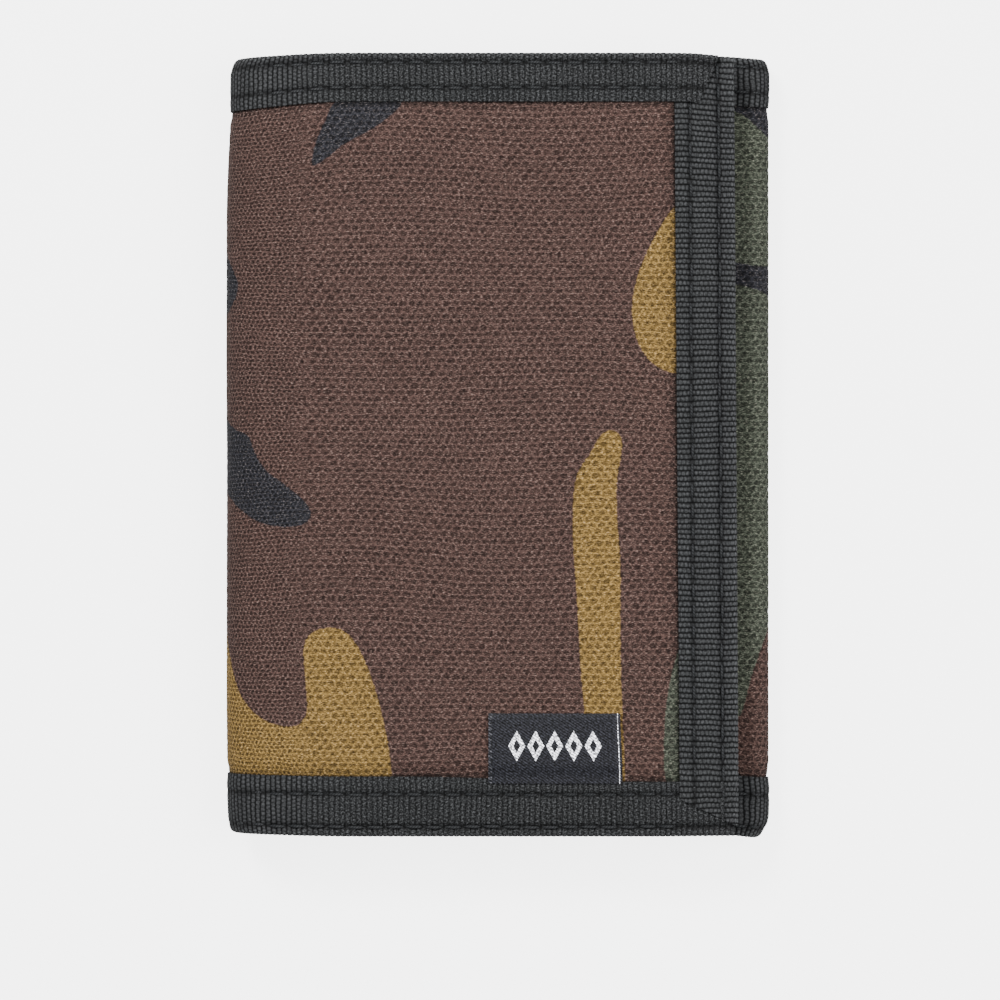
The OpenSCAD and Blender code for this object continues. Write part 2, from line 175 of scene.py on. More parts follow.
def shell(q):
    """x, z and outward direction (nx, nz) of the shell's outer face: straight runs joined by two half rings."""
    a = np.clip((LEFT_START - q) / LEFT_R, 0, math.pi)
    b = np.clip((RIGHT_START - q) / RIGHT_R, 0, math.pi)
    along_back = np.clip(BACK_START - q, 0, RIGHT_X - LEFT_X)
    along_tuck = np.maximum(TUCK_START - q, 0)
    x = np.maximum(q, LEFT_START) - LEFT_R * np.sin(a) + along_back + RIGHT_R * np.sin(b) - along_tuck
    z = LEFT_R * (1 + np.cos(a)) + RIGHT_R * (1 - np.cos(b))
    return x, z, np.sin(b) - np.sin(a), np.where(b > 0, -np.cos(b), np.cos(a))


def place(q, y, depth):
    """Closed wallet point at strip distance q, height y and depth below the outer face."""
    x, z, nx, nz = shell(q)
    return soften(x - nx * depth, y, z - nz * depth)


def fold_share(q):
    """1 round the folds, 0 on the panels, changing over 3 mm at each end of a fold."""
    left = ramp(LEFT_START - q, 0, 3) * ramp(q - BACK_START, 0, 3)
    return left + ramp(RIGHT_START - q, 0, 3) * ramp(q - TUCK_START, 0, 3)


def front_share(q):
    """1 on the front flap, falling to 0 round the left fold."""
    return 1 - np.clip((LEFT_START - q) / (math.pi * LEFT_R), 0, 1)


def lining_depth(q):
    """Depth of the lining's hidden face: 2.0 in the front flap, 1.4 elsewhere."""
    return 1.4 + 0.6 * front_share(q)


def sheet_back(q):
    """Depth of the inner leg of a binding that wraps canvas and lining."""
    return SHEET_BACK + (FRONT_BACK - SHEET_BACK) * front_share(q)


def grid_line(start, end, pitch, step=1):
    """Even positions from start to end, about pitch apart, in a multiple of step intervals."""
    count = max(1, round(abs(end - start) / pitch / step)) * step
    return np.linspace(start, end, count + 1)


def edged_line(start, end, inset, pitch):
    """start and end, with even positions about pitch apart between places inset from them."""
    return np.concatenate([[start], grid_line(start + inset, end - inset, pitch), [end]])


# ---------------------------------------------------------------- mesh builders

def quads(ids):
    """Four-cornered faces of a grid of vertex numbers."""
    return np.stack([ids[:-1, :-1], ids[1:, :-1], ids[1:, 1:], ids[:-1, 1:]], -1).reshape(-1, 4)


def rim(fine, coarse, step):
    """Faces that join an outer edge to an inner edge with one point for every `step` outer ones."""
    cells = np.arange(len(coarse) - 1)
    run = fine[cells[:, None] * step + np.arange(step + 1)]
    return np.hstack([run, coarse[cells + 1][:, None], coarse[cells][:, None]])


def mesh_from(name, points, faces, chart=None, marks=None, crease=55):
    """A smooth shaded mesh from points in millimetres, with a UV map and point attributes where given."""
    mesh = bpy.data.meshes.new(name)
    mesh.from_pydata((points * MM).tolist(), [], faces)
    mesh.polygons.foreach_set("use_smooth", np.ones(len(mesh.polygons), bool))
    if chart is not None:
        corner = np.empty(len(mesh.loops), np.int32)
        mesh.loops.foreach_get("vertex_index", corner)
        layer = mesh.uv_layers.new(name="threads")
        layer.data.foreach_set("uv", chart[corner].astype(np.float32).ravel())
    for key, values in (marks or {}).items():
        mark = mesh.attributes.new(key, "FLOAT", "POINT")
        mark.data.foreach_set("value", values.astype(np.float32))
    mesh.update()
    mesh.set_sharp_from_angle(angle=math.radians(crease))
    return mesh


def closed_sheet(name, face, us, vs, step, chart, marks=None):
    """A thin closed shell.

    The shown side is face(u, v, False) on the whole grid, the other side face(u, v, True) on every step-th
    line, and rims join the two. chart(u, v) is the UV map and marks(u, v) gives named point attributes.
    """
    U, V = np.meshgrid(us, vs, indexing="ij")
    u, v = U[::step, ::step], V[::step, ::step]
    outer, inner = face(U, V, False), face(u, v, True)
    top = np.arange(U.size).reshape(U.shape)
    low = U.size + np.arange(u.size).reshape(u.shape)
    faces = [quads(top), quads(low)[:, ::-1]]
    for fine, coarse in (
        (top[::-1, 0], low[::-1, 0]),
        (top[:, -1], low[:, -1]),
        (top[0], low[0]),
        (top[-1, ::-1], low[-1, ::-1]),
    ):
        faces.append(rim(fine, coarse, step))
    i, j = U.shape[0] // 2 // step * step, U.shape[1] // 4 // step * step
    normal = np.cross(outer[i + 1, j] - outer[i, j], outer[i, j + 1] - outer[i, j])
    if normal @ (outer[i, j] - inner[i // step, j // step]) < 0:
        faces = [f[:, ::-1] for f in faces]
    points = np.vstack([outer.reshape(-1, 3), inner.reshape(-1, 3)])
    both = [np.concatenate([A.ravel(), B.ravel()]) for A, B in ((U, u), (V, v))]
    chart_values = np.stack(np.broadcast_arrays(*chart(*both)), -1)
    mark_values = marks(*both) if marks else None
    return mesh_from(name, points, [f for block in faces for f in block.tolist()], chart_values, mark_values)


def tube_faces(points):
    """Faces of closed tubes, normals outward, for points[tube, ring, corner]."""
    ids = np.arange(points[..., 0].size).reshape(points.shape[:3])
    wrap = np.concatenate([ids, ids[:, :, :1]], 2)
    sides = np.stack([wrap[:, :-1, :-1], wrap[:, 1:, :-1], wrap[:, 1:, 1:], wrap[:, :-1, 1:]], -1)
    faces = sides.reshape(-1, 4).tolist() + ids[:, 0].tolist() + ids[:, -1, ::-1].tolist()
    tube, mid = points[0], ids.shape[1] // 2
    ring = tube[mid]
    outward = np.cross(tube[mid + 1, 0] - ring[0], ring[1] - ring[0]) @ (ring[0] - ring.mean(0))
    return faces if outward > 0 else [face[::-1] for face in faces]


def dashes(name, rows, length=2.45, pitch=3.05, radius=0.24):
    """Sewing stitches: capsules of five rings laid along rows of (start q, start y, end q, end y, depth).

    A stitch bows out in its middle and dives at both ends: depth + 0.3 w^4 for w from -1 to 1 along it.
    """
    w = np.linspace(-1, 1, 5)
    turn = np.linspace(0, 2 * math.pi, 6, endpoint=False)
    points, chart = [], []
    for q0, y0, q1, y1, depth in rows:
        run = math.hypot(q1 - q0, y1 - y0)
        centres = np.linspace(0, 1, max(2, round(run / pitch)) + 1)
        centres = (centres[:-1] + centres[1:]) / 2
        dq, dy = (q1 - q0) / run, (y1 - y0) / run
        wander = 0.10 * waves(centres * run, centres * 0, 17, 5)
        s = centres[:, None, None] * run + (w * length / 2)[None, :, None]
        thick = radius * (1 - 0.65 * w**4)[None, :, None]
        side = thick * np.cos(turn) + wander[:, None, None]
        q = q0 + dq * s - dy * side
        y = y0 + dy * s + dq * side
        deep = depth + 0.3 * w[None, :, None] ** 4 - thick * np.sin(turn)
        points.append(place(q, y, deep))
        chart.append(np.stack(np.broadcast_arrays(s, turn * radius), -1).reshape(-1, 2))
    points = np.concatenate(points)
    return mesh_from(name, points.reshape(-1, 3), tube_faces(points), np.vstack(chart))


def new_object(name, data):
    """An object placed in the scene."""
    made = bpy.data.objects.new(name, data)
    bpy.context.scene.collection.objects.link(made)
    return made


def add_piece(mesh, material, part, replaces=()):
    """Puts a mesh in the scene with its material, riding on the part's one body; a piece of a part with two
    bodies is left unattached, its transform baked.
    """
    piece = new_object(mesh.name, mesh)
    mesh.materials.append(material)
    if len(part.bodies) == 1:
        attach(piece, part.bodies[0])
    else:
        ends = [shell(np.array(q)) for q in (part.start, part.end)]
        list(part.bodies)
        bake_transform(piece)
    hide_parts(*replaces)
    return piece


Segment = namedtuple("Segment", "name cad start end bodies")
LEFT_MID = LEFT_START - math.pi * LEFT_R / 2
RIGHT_MID = RIGHT_START - math.pi * RIGHT_R / 2
SEGMENTS = (
    Segment("front", "front", FLAP_EDGE, LEFT_START, ("front_flap",)),
    Segment("left_fold_upper", "left_fold", LEFT_START, LEFT_MID, ("front_flap", "left_spine")),
    Segment("left_fold_lower", "left_fold", LEFT_MID, BACK_START, ("left_spine", "back")),
    Segment("back", "back", BACK_START, RIGHT_START, ("back",)),
    Segment("right_fold_lower", "right_fold", RIGHT_START, RIGHT_MID, ("back", "right_spine")),
    Segment("right_fold_upper", "right_fold", RIGHT_MID, TUCK_START, ("right_spine", "tuck_flap")),
    Segment("tuck", "tuck", TUCK_START, TUCK_EDGE, ("tuck_flap",)),
)
FRONT_PART, BACK_PART, TUCK_PART = SEGMENTS[0], SEGMENTS[3], SEGMENTS[-1]


# ---------------------------------------------------------------- print of the canvas

def on_tuck(*outline):
    """An outline given in x and y on the tuck flap, in strip coordinates."""
    return [(tuck_q(0.0) + x, y) for x, y in outline]


NAVY_SPOTS = (
    [(-24.9, 53.5), (-14.6, 53.5), (-14.6, 52.2), (-15.7, 50.8), (-19.5, 47.9), (-23.4, 46.1),
     (-25.7, 44.1), (-27.5, 42.8), (-28.6, 42.6), (-27.9, 46.5), (-26.3, 49.6)],
    [(-52, 33), (-44, 29.5), (-40.6, 25.8), (-40.0, 23.6), (-42.0, 20.6), (-50, 17), (-58, 22)],
    [(-46.0, 5.0), (-41.2, 2.2), (-38.2, 1.6), (-37.2, -1), (-35.5, -4.1), (-31.8, -6.7), (-29, -9.1),
     (-28.2, -11.2), (-29.8, -12.7), (-33.3, -12.9), (-36.7, -12), (-39.8, -10.1), (-43.5, -7.6), (-52, -6),
     (-54, 3)],
    on_tuck((30, 54), (37.6, 51.4), (39.6, 49.2), (43, 47.2), (50, 50), (48, 56), (36, 58)),
    on_tuck((32, 29), (37.5, 27.9), (42, 27.3), (48, 29), (56, 25), (50, 20), (44, 22.2), (41, 23.4),
            (37.5, 24.6), (32, 25.4)),
    [(-74, 20), (-66, 24), (-61, 14), (-67, 2), (-70, -14), (-79, -18), (-83, -6), (-77, 6)],
    [(-118, -22), (-108, -16), (-97, -24), (-100, -34), (-112, -33), (-121, -40), (-128, -34)],
    [(-104, 44), (-92, 48), (-84, 43), (-90, 36), (-102, 33), (-110, 36)],
    on_tuck((-2, -18), (10, -12), (22, -20), (16, -30), (4, -27)),
)
OCHRE_SPOTS = (
    [(31.0, 40.0), (27.4, 36.9), (24.5, 32.7), (21.6, 26.6), (20.4, 21.2), (21.0, 16.6), (22.5, 13.4),
     (24.9, 11.3), (28.4, 10.5), (32, 14), (33, 30)],
    [(16.9, 2.3), (18.9, 1.6), (19.2, -1), (18.2, -5.6), (18.3, -11.7), (18.9, -17.9), (18.8, -30.1),
     (19.1, -41.1), (19.6, -50.8), (19.6, -54), (14.4, -54), (13.6, -44), (12.6, -33.2), (12.2, -24),
     (11.5, -14.8), (11.5, -8.7), (12.1, -4.3), (14.4, -1.4), (15.2, 0.6)],
    [(-47.5, -24), (-43.2, -31.0), (-41.6, -34.8), (-39.9, -38.5), (-36.8, -41.8), (-33.3, -43.3),
     (-30.5, -43.3), (-29.0, -41.4), (-29.2, -37.8), (-29.8, -30.9), (-28.6, -28.9), (-25.7, -28.0),
     (-23.0, -28.8), (-21.0, -31.6), (-19.1, -36.2), (-17.6, -41.6), (-16.5, -47), (-16.0, -54), (-36, -55),
     (-56, -54), (-60, -40), (-54, -24)],
    [(-68, 54), (-64, 40), (-70, 30), (-80, 27), (-86, 32), (-79, 40), (-78, 54)],
    [(-96, 14), (-88, 20), (-82, 12), (-89, 4), (-95, -8), (-104, -10), (-106, 0)],
    on_tuck((-6, 40), (8, 44), (18, 36), (12, 26), (-2, 24)),
    [(-120, -54), (-116, -46), (-104, -44), (-97, -48), (-98, -54)],
)
GREEN_SPOTS = (
    [(29.0, -28.5), (27.2, -33.0), (26.1, -37.8), (25.4, -43.9), (25.6, -54), (33, -54), (33, -30)],
    on_tuck((47, 58), (28, 58), (24, 40), (27, 18), (22, -4), (27, -24), (33, -38), (37.0, -43),
            (38.2, -39), (39.0, -35), (41.6, -29.0), (50, -20), (58, -4), (62, 14), (58, 34)),
    [(-58, 8), (-50, 16), (-53, 32), (-60, 40), (-72, 34), (-76, 24), (-66, 14), (-70, 2), (-62, -6)],
    [(-92, -14), (-80, -22), (-66, -24), (-60, -34), (-70, -44), (-84, -40), (-98, -44), (-104, -36)],
    [(-112, 30), (-100, 26), (-90, 26), (-84, 14), (-92, 10), (-104, 12), (-116, 16), (-124, 22)],
    on_tuck((-8, 14), (8, 18), (14, 4), (2, -8), (-8, -6)),
)


def rounded(outline, rounds=3):
    """The outline with its corners cut three times over, each corner at a quarter of both sides."""
    points = np.array(outline, float)
    for _ in range(rounds):
        after = np.roll(points, -1, 0)
        points = np.stack([0.75 * points + 0.25 * after, 0.25 * points + 0.75 * after], 1).reshape(-1, 2)
    return points


def depth_inside(q, y, outline, reach=2.0):
    """Distance to the outline's edge, positive inside, clipped to -reach."""
    points = rounded(outline)
    result = np.full(q.shape, -reach)
    near = (q > points[:, 0].min() - reach) & (q < points[:, 0].max() + reach)
    near &= (y > points[:, 1].min() - reach) & (y < points[:, 1].max() + reach)
    if not near.any():
        return result
    a, b = q[near][:, None], y[near][:, None]
    p, r = points, np.roll(points, -1, 0) - points
    along = np.clip(((a - p[:, 0]) * r[:, 0] + (b - p[:, 1]) * r[:, 1]) / (r**2).sum(1), 0, 1)
    gap = np.hypot(a - p[:, 0] - along * r[:, 0], b - p[:, 1] - along * r[:, 1]).min(1)
    end = np.roll(points, -1, 0)
    spans = (p[:, 1] > b) != (end[:, 1] > b)
    rise = np.where(end[:, 1] == p[:, 1], 1e-9, end[:, 1] - p[:, 1])
    crossed = spans & (a < p[:, 0] + (b - p[:, 1]) * r[:, 0] / rise)
    inside = crossed.sum(1) % 2 == 1
    result[near] = np.where(inside, gap, -np.minimum(gap, reach))
    return result


def print_marks(q, y):
    """How far each point lies inside each colour of the print, how near a binding it is, for the painted shade
    along the webbing's edge, and how tight the cloth.
    """
    families = (("navy", NAVY_SPOTS), ("ochre", OCHRE_SPOTS), ("green", GREEN_SPOTS))
    marks = {name: np.max([depth_inside(q, y, spot) for spot in spots], 0) for name, spots in families}
    # seam: painted shade on the canvas under the webbing's edge, strongest right at the edge.
    marks["seam"] = np.exp(-np.clip(seam_gap(q, y), 0, 9) / 0.5)
    marks["strain"] = pulled_share(q)
    return marks


# ---------------------------------------------------------------- cloth of the shell

def thread_chart(q, y):
    """Canvas chart in cells: gently wandering threads, so that no row is quite straight."""
    u = q / CELL_X + 0.35 * waves(q, y, 26, 11) + 0.12 * waves(q, y, 6, 12)
    v = y / CELL_Y + 0.45 * waves(q, y, 31, 13) + 0.12 * waves(q, y, 5, 14)
    return u, v


def pulled_share(q):
    """1 where the cloth is pulled tight beside the left fold, 0 in mid flap and past the fold."""
    return ramp(-q, 27.5, 33.5) * ramp(q, LEFT_START - 12.0, LEFT_START - 5.0)


def weave_relief(q, y):
    """Height of the canvas: ridges round staggered pits, 1 on a ridge and 0 in the middle of a pit."""
    u, v = thread_chart(q, y)
    row = np.floor(v)
    across = np.abs((u + 0.5 * (row % 2)) % 1 - 0.5) * 2
    up = np.abs(v - row - 0.5) * 2
    return np.clip(across**2.1 + up**2.2, 0, 1)


def flap_lean(y):
    """How far the front flap's edge webbing leans from the vertical at height y."""
    return 0.45 * y / HALF_HEIGHT


def seam_drop(q):
    """How far the bottom webbing's upper edge slants down, from mid flap to the free edge."""
    return 0.77 * ramp(q, -15, 20)


def seam_gap(q, y):
    """Distance from the nearest binding, negative under it."""
    gap = np.minimum(TOP_SEAM - y, y - BOTTOM_SEAM + seam_drop(q))
    gap = np.minimum(gap, np.where(q > LEFT_START, EDGE_SEAM - q - flap_lean(y), 9.0))
    return np.minimum(gap, np.where(q < TUCK_START, q - TUCK_SEAM, 9.0))


def seam_dip(q, y):
    """How far the canvas is pressed down at its bindings: 0.62, less on the folds, easing out over 2.6 mm."""
    return 0.62 * (1 - 0.4 * fold_share(q)) * (1 - ramp(seam_gap(q, y), -0.1, 2.6))


def canvas_face(q, y, inner):
    """Canvas: the dipped outer face with its weave relief, or the inner face 0.7 below."""
    dip = seam_dip(q, y)
    if inner:
        return place(q, y, 0.6 * dip + CANVAS)
    slack = 0.12 * waves(q, y, 24, 21) * (1 - dip)
    tight = 0.25 * fold_share(q) * (1 - dip)
    relief = 0.13 * (1 - 0.6 * pulled_share(q)) * weave_relief(q, y)
    return place(q, y, dip + tight + slack * front_share(q) + 0.06 - relief)


def make_canvas(material):
    """The printed canvas in seven lengths."""
    ys = grid_line(BOTTOM_SEAM - CANVAS_UNDER, TOP_SEAM + CANVAS_UNDER, 0.317, 4)
    for part in SEGMENTS:
        start = EDGE_SEAM + CANVAS_UNDER if part.name == "front" else part.start
        end = TUCK_SEAM - CANVAS_UNDER if part.name == "tuck" else part.end
        mesh = closed_sheet(f"{part.name}_canvas_cloth", canvas_face, grid_line(start, end, 0.35, 4), ys, 4,
                            thread_chart, print_marks)
        add_piece(mesh, material, part, [f"{part.cad}_canvas"])


LEG, TURN, RETURN = 36, 8, 12
STEPS = LEG + TURN + RETURN


def binding_section(t, width, face, back, fuller, grooves, press):
    """Step t of a folded binding: how far out from its seam, how deep, and the outward direction there.

    The outer leg runs out to a half ellipse round the edge and the inner leg runs back; the legs close up
    towards the edge and sink along each stitch row.
    """
    theta = math.pi * np.clip((t - LEG) / TURN, 0, 1)
    half = (back - face) / 2
    bulge = np.minimum(half, 0.62)
    flat = width - bulge
    straight = straight_share(t)
    out = flat * straight + bulge * np.sin(theta)
    pressed = 0.45 * np.clip(half - 0.6, 0, 1) * straight**2
    for groove in grooves:
        pressed = pressed + press * np.exp(-(((out - groove) / 0.42) ** 2))
    edge_lift = 0.16 * np.exp(-((out / 1.1) ** 2)) * (t <= LEG)
    half = half - pressed + fuller - edge_lift
    depth = (face + back) / 2 - half * np.cos(theta)
    out_dir, deep_dir = np.sin(theta) / bulge, -np.cos(theta) / np.maximum(half, 0.3)
    size = np.hypot(out_dir, deep_dir)
    run = flat * straight + np.where(t > LEG, 1.57 * (theta / math.pi) * (half + bulge), 0)
    run = np.where(t >= LEG + TURN, 2 * flat - flat * straight + 1.57 * (half + bulge), run)
    return out, depth, out_dir / size, deep_dir / size, run


def rib_chart(along, run):
    """Binding chart: ribs across the tape, beads of yarn along each rib, neither quite even."""
    u = along / RIB + 0.30 * waves(along, run, 23, 31) + 0.10 * waves(along, run, 5, 33)
    return u, run / BEAD + 0.15 * waves(along, run, 9, 32)


def rib_relief(along, run):
    """Height of the grosgrain: round ribs with narrow valleys, each cut into staggered beads."""
    u, v = rib_chart(along, run)
    rib = 1 - np.abs((u % 1) * 2 - 1) ** 2.2
    bead = 1 - np.abs(((v + 0.5 * (np.floor(u) % 2)) % 1) * 2 - 1) ** 2.6
    return rib * (0.62 + 0.38 * bead)


def straight_share(t):
    """How far along a leg step t lies: 0 at the seam, 1 from the start to the end of the turn."""
    return np.where(t <= LEG, t / LEG, np.where(t >= LEG + TURN, (STEPS - t) / RETURN, 1.0))


def make_binding(name, lay, width, back, fuller, ends, grooves, material, part, replaces, felted=False):
    """One length of folded webbing.

    lay(s, out) gives (q, y) for s along it and out across it; ends(out) gives where it starts and stops
    along s, so that an end can be cut slanting; back(q) is the depth of its inner leg; fuller(q, y) lifts
    it over another.
    """
    start, end = ends(np.array(0.0))
    longest = max(abs(float(b) - float(a)) for a, b in (ends(np.array(w)) for w in (0.0, width)))
    us = grid_line(0.0, 1.0, RIB / 4 / longest, 4)
    facing = 1.0 if end >= start else -1.0

    def section(u, t):
        first, last = ends(np.zeros_like(u) + straight_share(t) * width)
        s = first + (last - first) * u
        q, y = lay(s, width / 2)
        press = 0.34 - 0.26 * fold_share(q)
        return s, *binding_section(t, width, TAPE_FACE, back(q), fuller(q, y), grooves, press)

    def face(u, t, inner):
        s, out, depth, out_dir, deep_dir, run = section(u, t)
        lift = -TAPE if inner else 0.11 * rib_relief(s * facing, run) - 0.05
        q, y = lay(s, out + out_dir * lift)
        return place(q, y, depth + deep_dir * lift)

    def chart(u, t):
        s, *_, run = section(u, t)
        return rib_chart(s * facing, run)

    def marks(u, t):
        s, out = section(u, t)[:2]
        # Painted shade in the grooves along each stitch row.
        return {"sewn": sum(np.exp(-(((out - g) / 0.36) ** 2)) for g in grooves),
                # Painted highlight along the turn of the webbing round the edge.
                "selvedge": np.exp(-(((t - LEG - 1.5) / 1.6) ** 2)),
                "felted": ramp(s, -36, -22) * felted}

    mesh = closed_sheet(name, face, us, np.arange(STEPS + 1.0), 4, chart, marks)
    piece = add_piece(mesh, material, part, replaces)


TOP_WIDTH = HALF_HEIGHT - TOP_SEAM
BOTTOM_WIDTH = HALF_HEIGHT + BOTTOM_SEAM
EDGE_WIDTH = FLAP_EDGE - EDGE_SEAM
TOP_ROWS = (2.1, 6.0)
BOTTOM_ROWS = (2.75, 7.7)
EDGE_ROWS = (2.3, 6.7)
OVERLAP_LIFT = 0.34
# where the top webbing and the edge webbing are cut, and how much their ends slant
TOP_CUT, TOP_SLANT = 31.0, 2.9
EDGE_FOOT, EDGE_SLANT, EDGE_SHORT = -54.2, 4.1, 0.35
# how deep the stitches sink on a panel and on a fold, and how far the inner rows stand out of the inner leg
SUNK, SUNK_ON_FOLD, INNER_ROW = 0.2, 0.36, 0.27


def over_edge(q, y):
    """Extra fullness of the top webbing where it runs over the edge webbing."""
    front, tuck = ramp(q, EDGE_SEAM - 1.4, EDGE_SEAM + 0.3), ramp(-q, -TUCK_SEAM - 1.4, 0.3 - TUCK_SEAM)
    return OVERLAP_LIFT * (front + tuck)


def over_bottom(q, y):
    """Extra fullness of the edge webbing where it runs over the bottom webbing."""
    return OVERLAP_LIFT * ramp(-y, -BOTTOM_SEAM - 1.6, 0.4 - BOTTOM_SEAM)


def top_lay(s, out):
    """Top webbing: along the strip, out upward."""
    return s, TOP_SEAM + out


def bottom_lay(s, out):
    """Bottom webbing: along the strip, out downward, its upper edge slanting."""
    return s, BOTTOM_SEAM - out - seam_drop(s) * np.clip(1 - out / 2.2, 0, 1)


def flap_lay(s, out):
    """Front edge webbing: along y, out towards the free edge, leaning."""
    return EDGE_SEAM + out - flap_lean(s) * (1 - 0.2 * out / EDGE_WIDTH), s


def edge_ends(out):
    """Edge webbing: cut slanting at the bottom, straight at the top."""
    return EDGE_FOOT - EDGE_SLANT * out / EDGE_WIDTH, HALF_HEIGHT - EDGE_SHORT + 0 * out


def make_bindings(material):
    """Top and bottom webbing in seven lengths each, and the webbing of both free edges."""
    for part in SEGMENTS:
        front, free = part.name == "front", part.name in ("front", "tuck")

        def top_ends(out):
            slant = TOP_CUT + TOP_SLANT * out / TOP_WIDTH
            first = slant if front else part.start
            last = TUCK_SEAM - (slant - EDGE_SEAM) if part.name == "tuck" else part.end
            return first + 0 * out, last + 0 * out

        make_binding(f"{part.name}_top_webbing", top_lay, TOP_WIDTH, lambda q: TOP_TAPE_BACK + 0 * q,
                     over_edge if free else lambda q, y: 0 * q, top_ends, TOP_ROWS, material, part,
                     [f"{part.cad}_top_binding"], front)
        make_binding(f"{part.name}_bottom_webbing", bottom_lay, BOTTOM_WIDTH, sheet_back, lambda q, y: 0 * q,
                     lambda out: (part.start + 0 * out, part.end + 0 * out), BOTTOM_ROWS, material, part,
                     [f"{part.cad}_bottom_binding"], front)
    make_binding("front_edge_webbing", flap_lay, EDGE_WIDTH, sheet_back, over_bottom, edge_ends, EDGE_ROWS,
                 material, FRONT_PART, ["front_edge_binding"])
    make_binding("tuck_edge_webbing", lambda s, out: (TUCK_SEAM - out, s), EDGE_WIDTH, sheet_back, over_bottom,
                 edge_ends, EDGE_ROWS, material, TUCK_PART, ["tuck_edge_binding"])


def make_binding_threads(material):
    """Two rows of stitches along every binding, on its outer and its inner face."""
    for part in SEGMENTS:
        front, tuck = part.name == "front", part.name == "tuck"
        rows = []
        sunk = TAPE_FACE + (SUNK_ON_FOLD if "fold" in part.name else SUNK)
        start = TOP_CUT + 0.6 if front else part.start
        end = TUCK_SEAM - 4.2 if tuck else part.end
        for out in TOP_ROWS:
            y = TOP_SEAM + out
            rows += [(start, y, end, y, sunk), (start, y, end, y, TOP_TAPE_BACK - 0.2)]
        start = EDGE_SEAM if front else part.start
        end = TUCK_SEAM if tuck else part.end
        back = float(sheet_back(np.array((start + end) / 2)))
        for out in BOTTOM_ROWS:
            y = BOTTOM_SEAM - out
            rows += [(start, y, end, y, sunk), (start, y, end, y, back - INNER_ROW)]
        if front or tuck:
            for out in EDGE_ROWS:
                q, lean = (EDGE_SEAM + out, 0.4) if front else (TUCK_SEAM - out, 0.0)
                rows += [(q + lean, -55.0, q - lean, 59.0, deep) for deep in (sunk, back - INNER_ROW)]
        cad = [f"{part.cad}_stitching"] if part.cad in ("front", "back", "tuck") else []
        mesh = dashes(f"{part.name}_threads", rows)
        add_piece(mesh, material, part, cad)


# ---------------------------------------------------------------- linings and pockets

def plain_chart(q, y):
    """Lining chart in millimetres."""
    return q, y


def lining_face(q, y, inner):
    """Lining: gently uneven, its shown side deeper than its hidden one."""
    base = lining_depth(q) + 0.1 * waves(q, y, 28, 41) + 0.05 * waves(q, y, 9, 42)
    return place(q, y, base + (0.0 if inner else LINING))


def hem_face(q, t, inner):
    """The lining's folded hem: steps 0 to 6 up one leg, 6 to 12 round the fold, 12 to 18 down the other."""
    theta = math.pi * np.clip((t - 6) / 6, 0, 1)
    straight = np.where(t <= 6, t / 6, np.where(t >= 12, (18 - t) / 6, 1.0))
    thick = 0.31 - (0.12 if inner else 0.0)
    out = straight * (HEM_WIDTH - 0.3) + (thick * np.sin(theta))
    depth = lining_depth(q) + 0.18 + 0.1 * waves(q, LINING_TOP, 28, 41) - thick * np.cos(theta)
    return place(q, LINING_TOP - HEM_WIDTH + 0.2 + out, depth)


def make_linings(material):
    """Nylon lining in seven lengths, each with its folded hem along the top."""
    for part in SEGMENTS:
        start = EDGE_SEAM + LINING_UNDER if part.name == "front" else part.start
        end = TUCK_SEAM - LINING_UNDER if part.name == "tuck" else part.end
        us, vs = grid_line(start, end, 1.0, 2), grid_line(LINING_FOOT, LINING_TOP, 1.5, 2)
        mesh = closed_sheet(f"{part.name}_lining_cloth", lining_face, us, vs, 2, plain_chart)
        piece = add_piece(mesh, material, part, [f"{part.cad}_lining"])
        mesh = closed_sheet(f"{part.name}_lining_fold", hem_face, us, np.arange(19.0), 2,
                            lambda q, t: (q, t * 0.6))
        add_piece(mesh, material, part, [f"{part.cad}_lining_hem"])


def make_panel(name, low, high, depth, thick, q_of, side, part, material, puff=0.0, replaces=()):
    """A flat piece of cloth on a panel, from low to high in x and y.

    Side 1 shows its deeper face, -1 its shallower one. It swells by puff (1 - a^4)(1 - b^4) towards the
    shown side, a and b from -1 to 1 across it, and its edges are rounded over half its thickness.
    """
    q_mid, y_mid = (q_of(low[0]) + q_of(high[0])) / 2, (low[1] + high[1]) / 2
    q_half, y_half = abs(q_of(high[0]) - q_of(low[0])) / 2, (high[1] - low[1]) / 2

    def face(q, y, inner):
        a, b = (q - q_mid) / q_half, (y - y_mid) / y_half
        swell = puff * (1 - a**4) * (1 - b**4) + 0.05 * waves(q, y, 20, 51)
        edge = np.minimum(q_half - abs(q - q_mid), y_half - abs(y - y_mid))
        rounding = 0.35 * thick * (1 - ramp(edge, 0, 0.5))
        shown = depth + side * (thick / 2 + swell - rounding)
        hidden = depth - side * (thick / 2 - swell - rounding)
        return place(q, y, hidden if inner else shown)

    qs, ys = edged_line(q_mid - q_half, q_mid + q_half, 0.12, 0.9), edged_line(low[1], high[1], 0.12, 0.9)
    return add_piece(closed_sheet(name, face, qs, ys, 1, plain_chart), material, part, replaces)


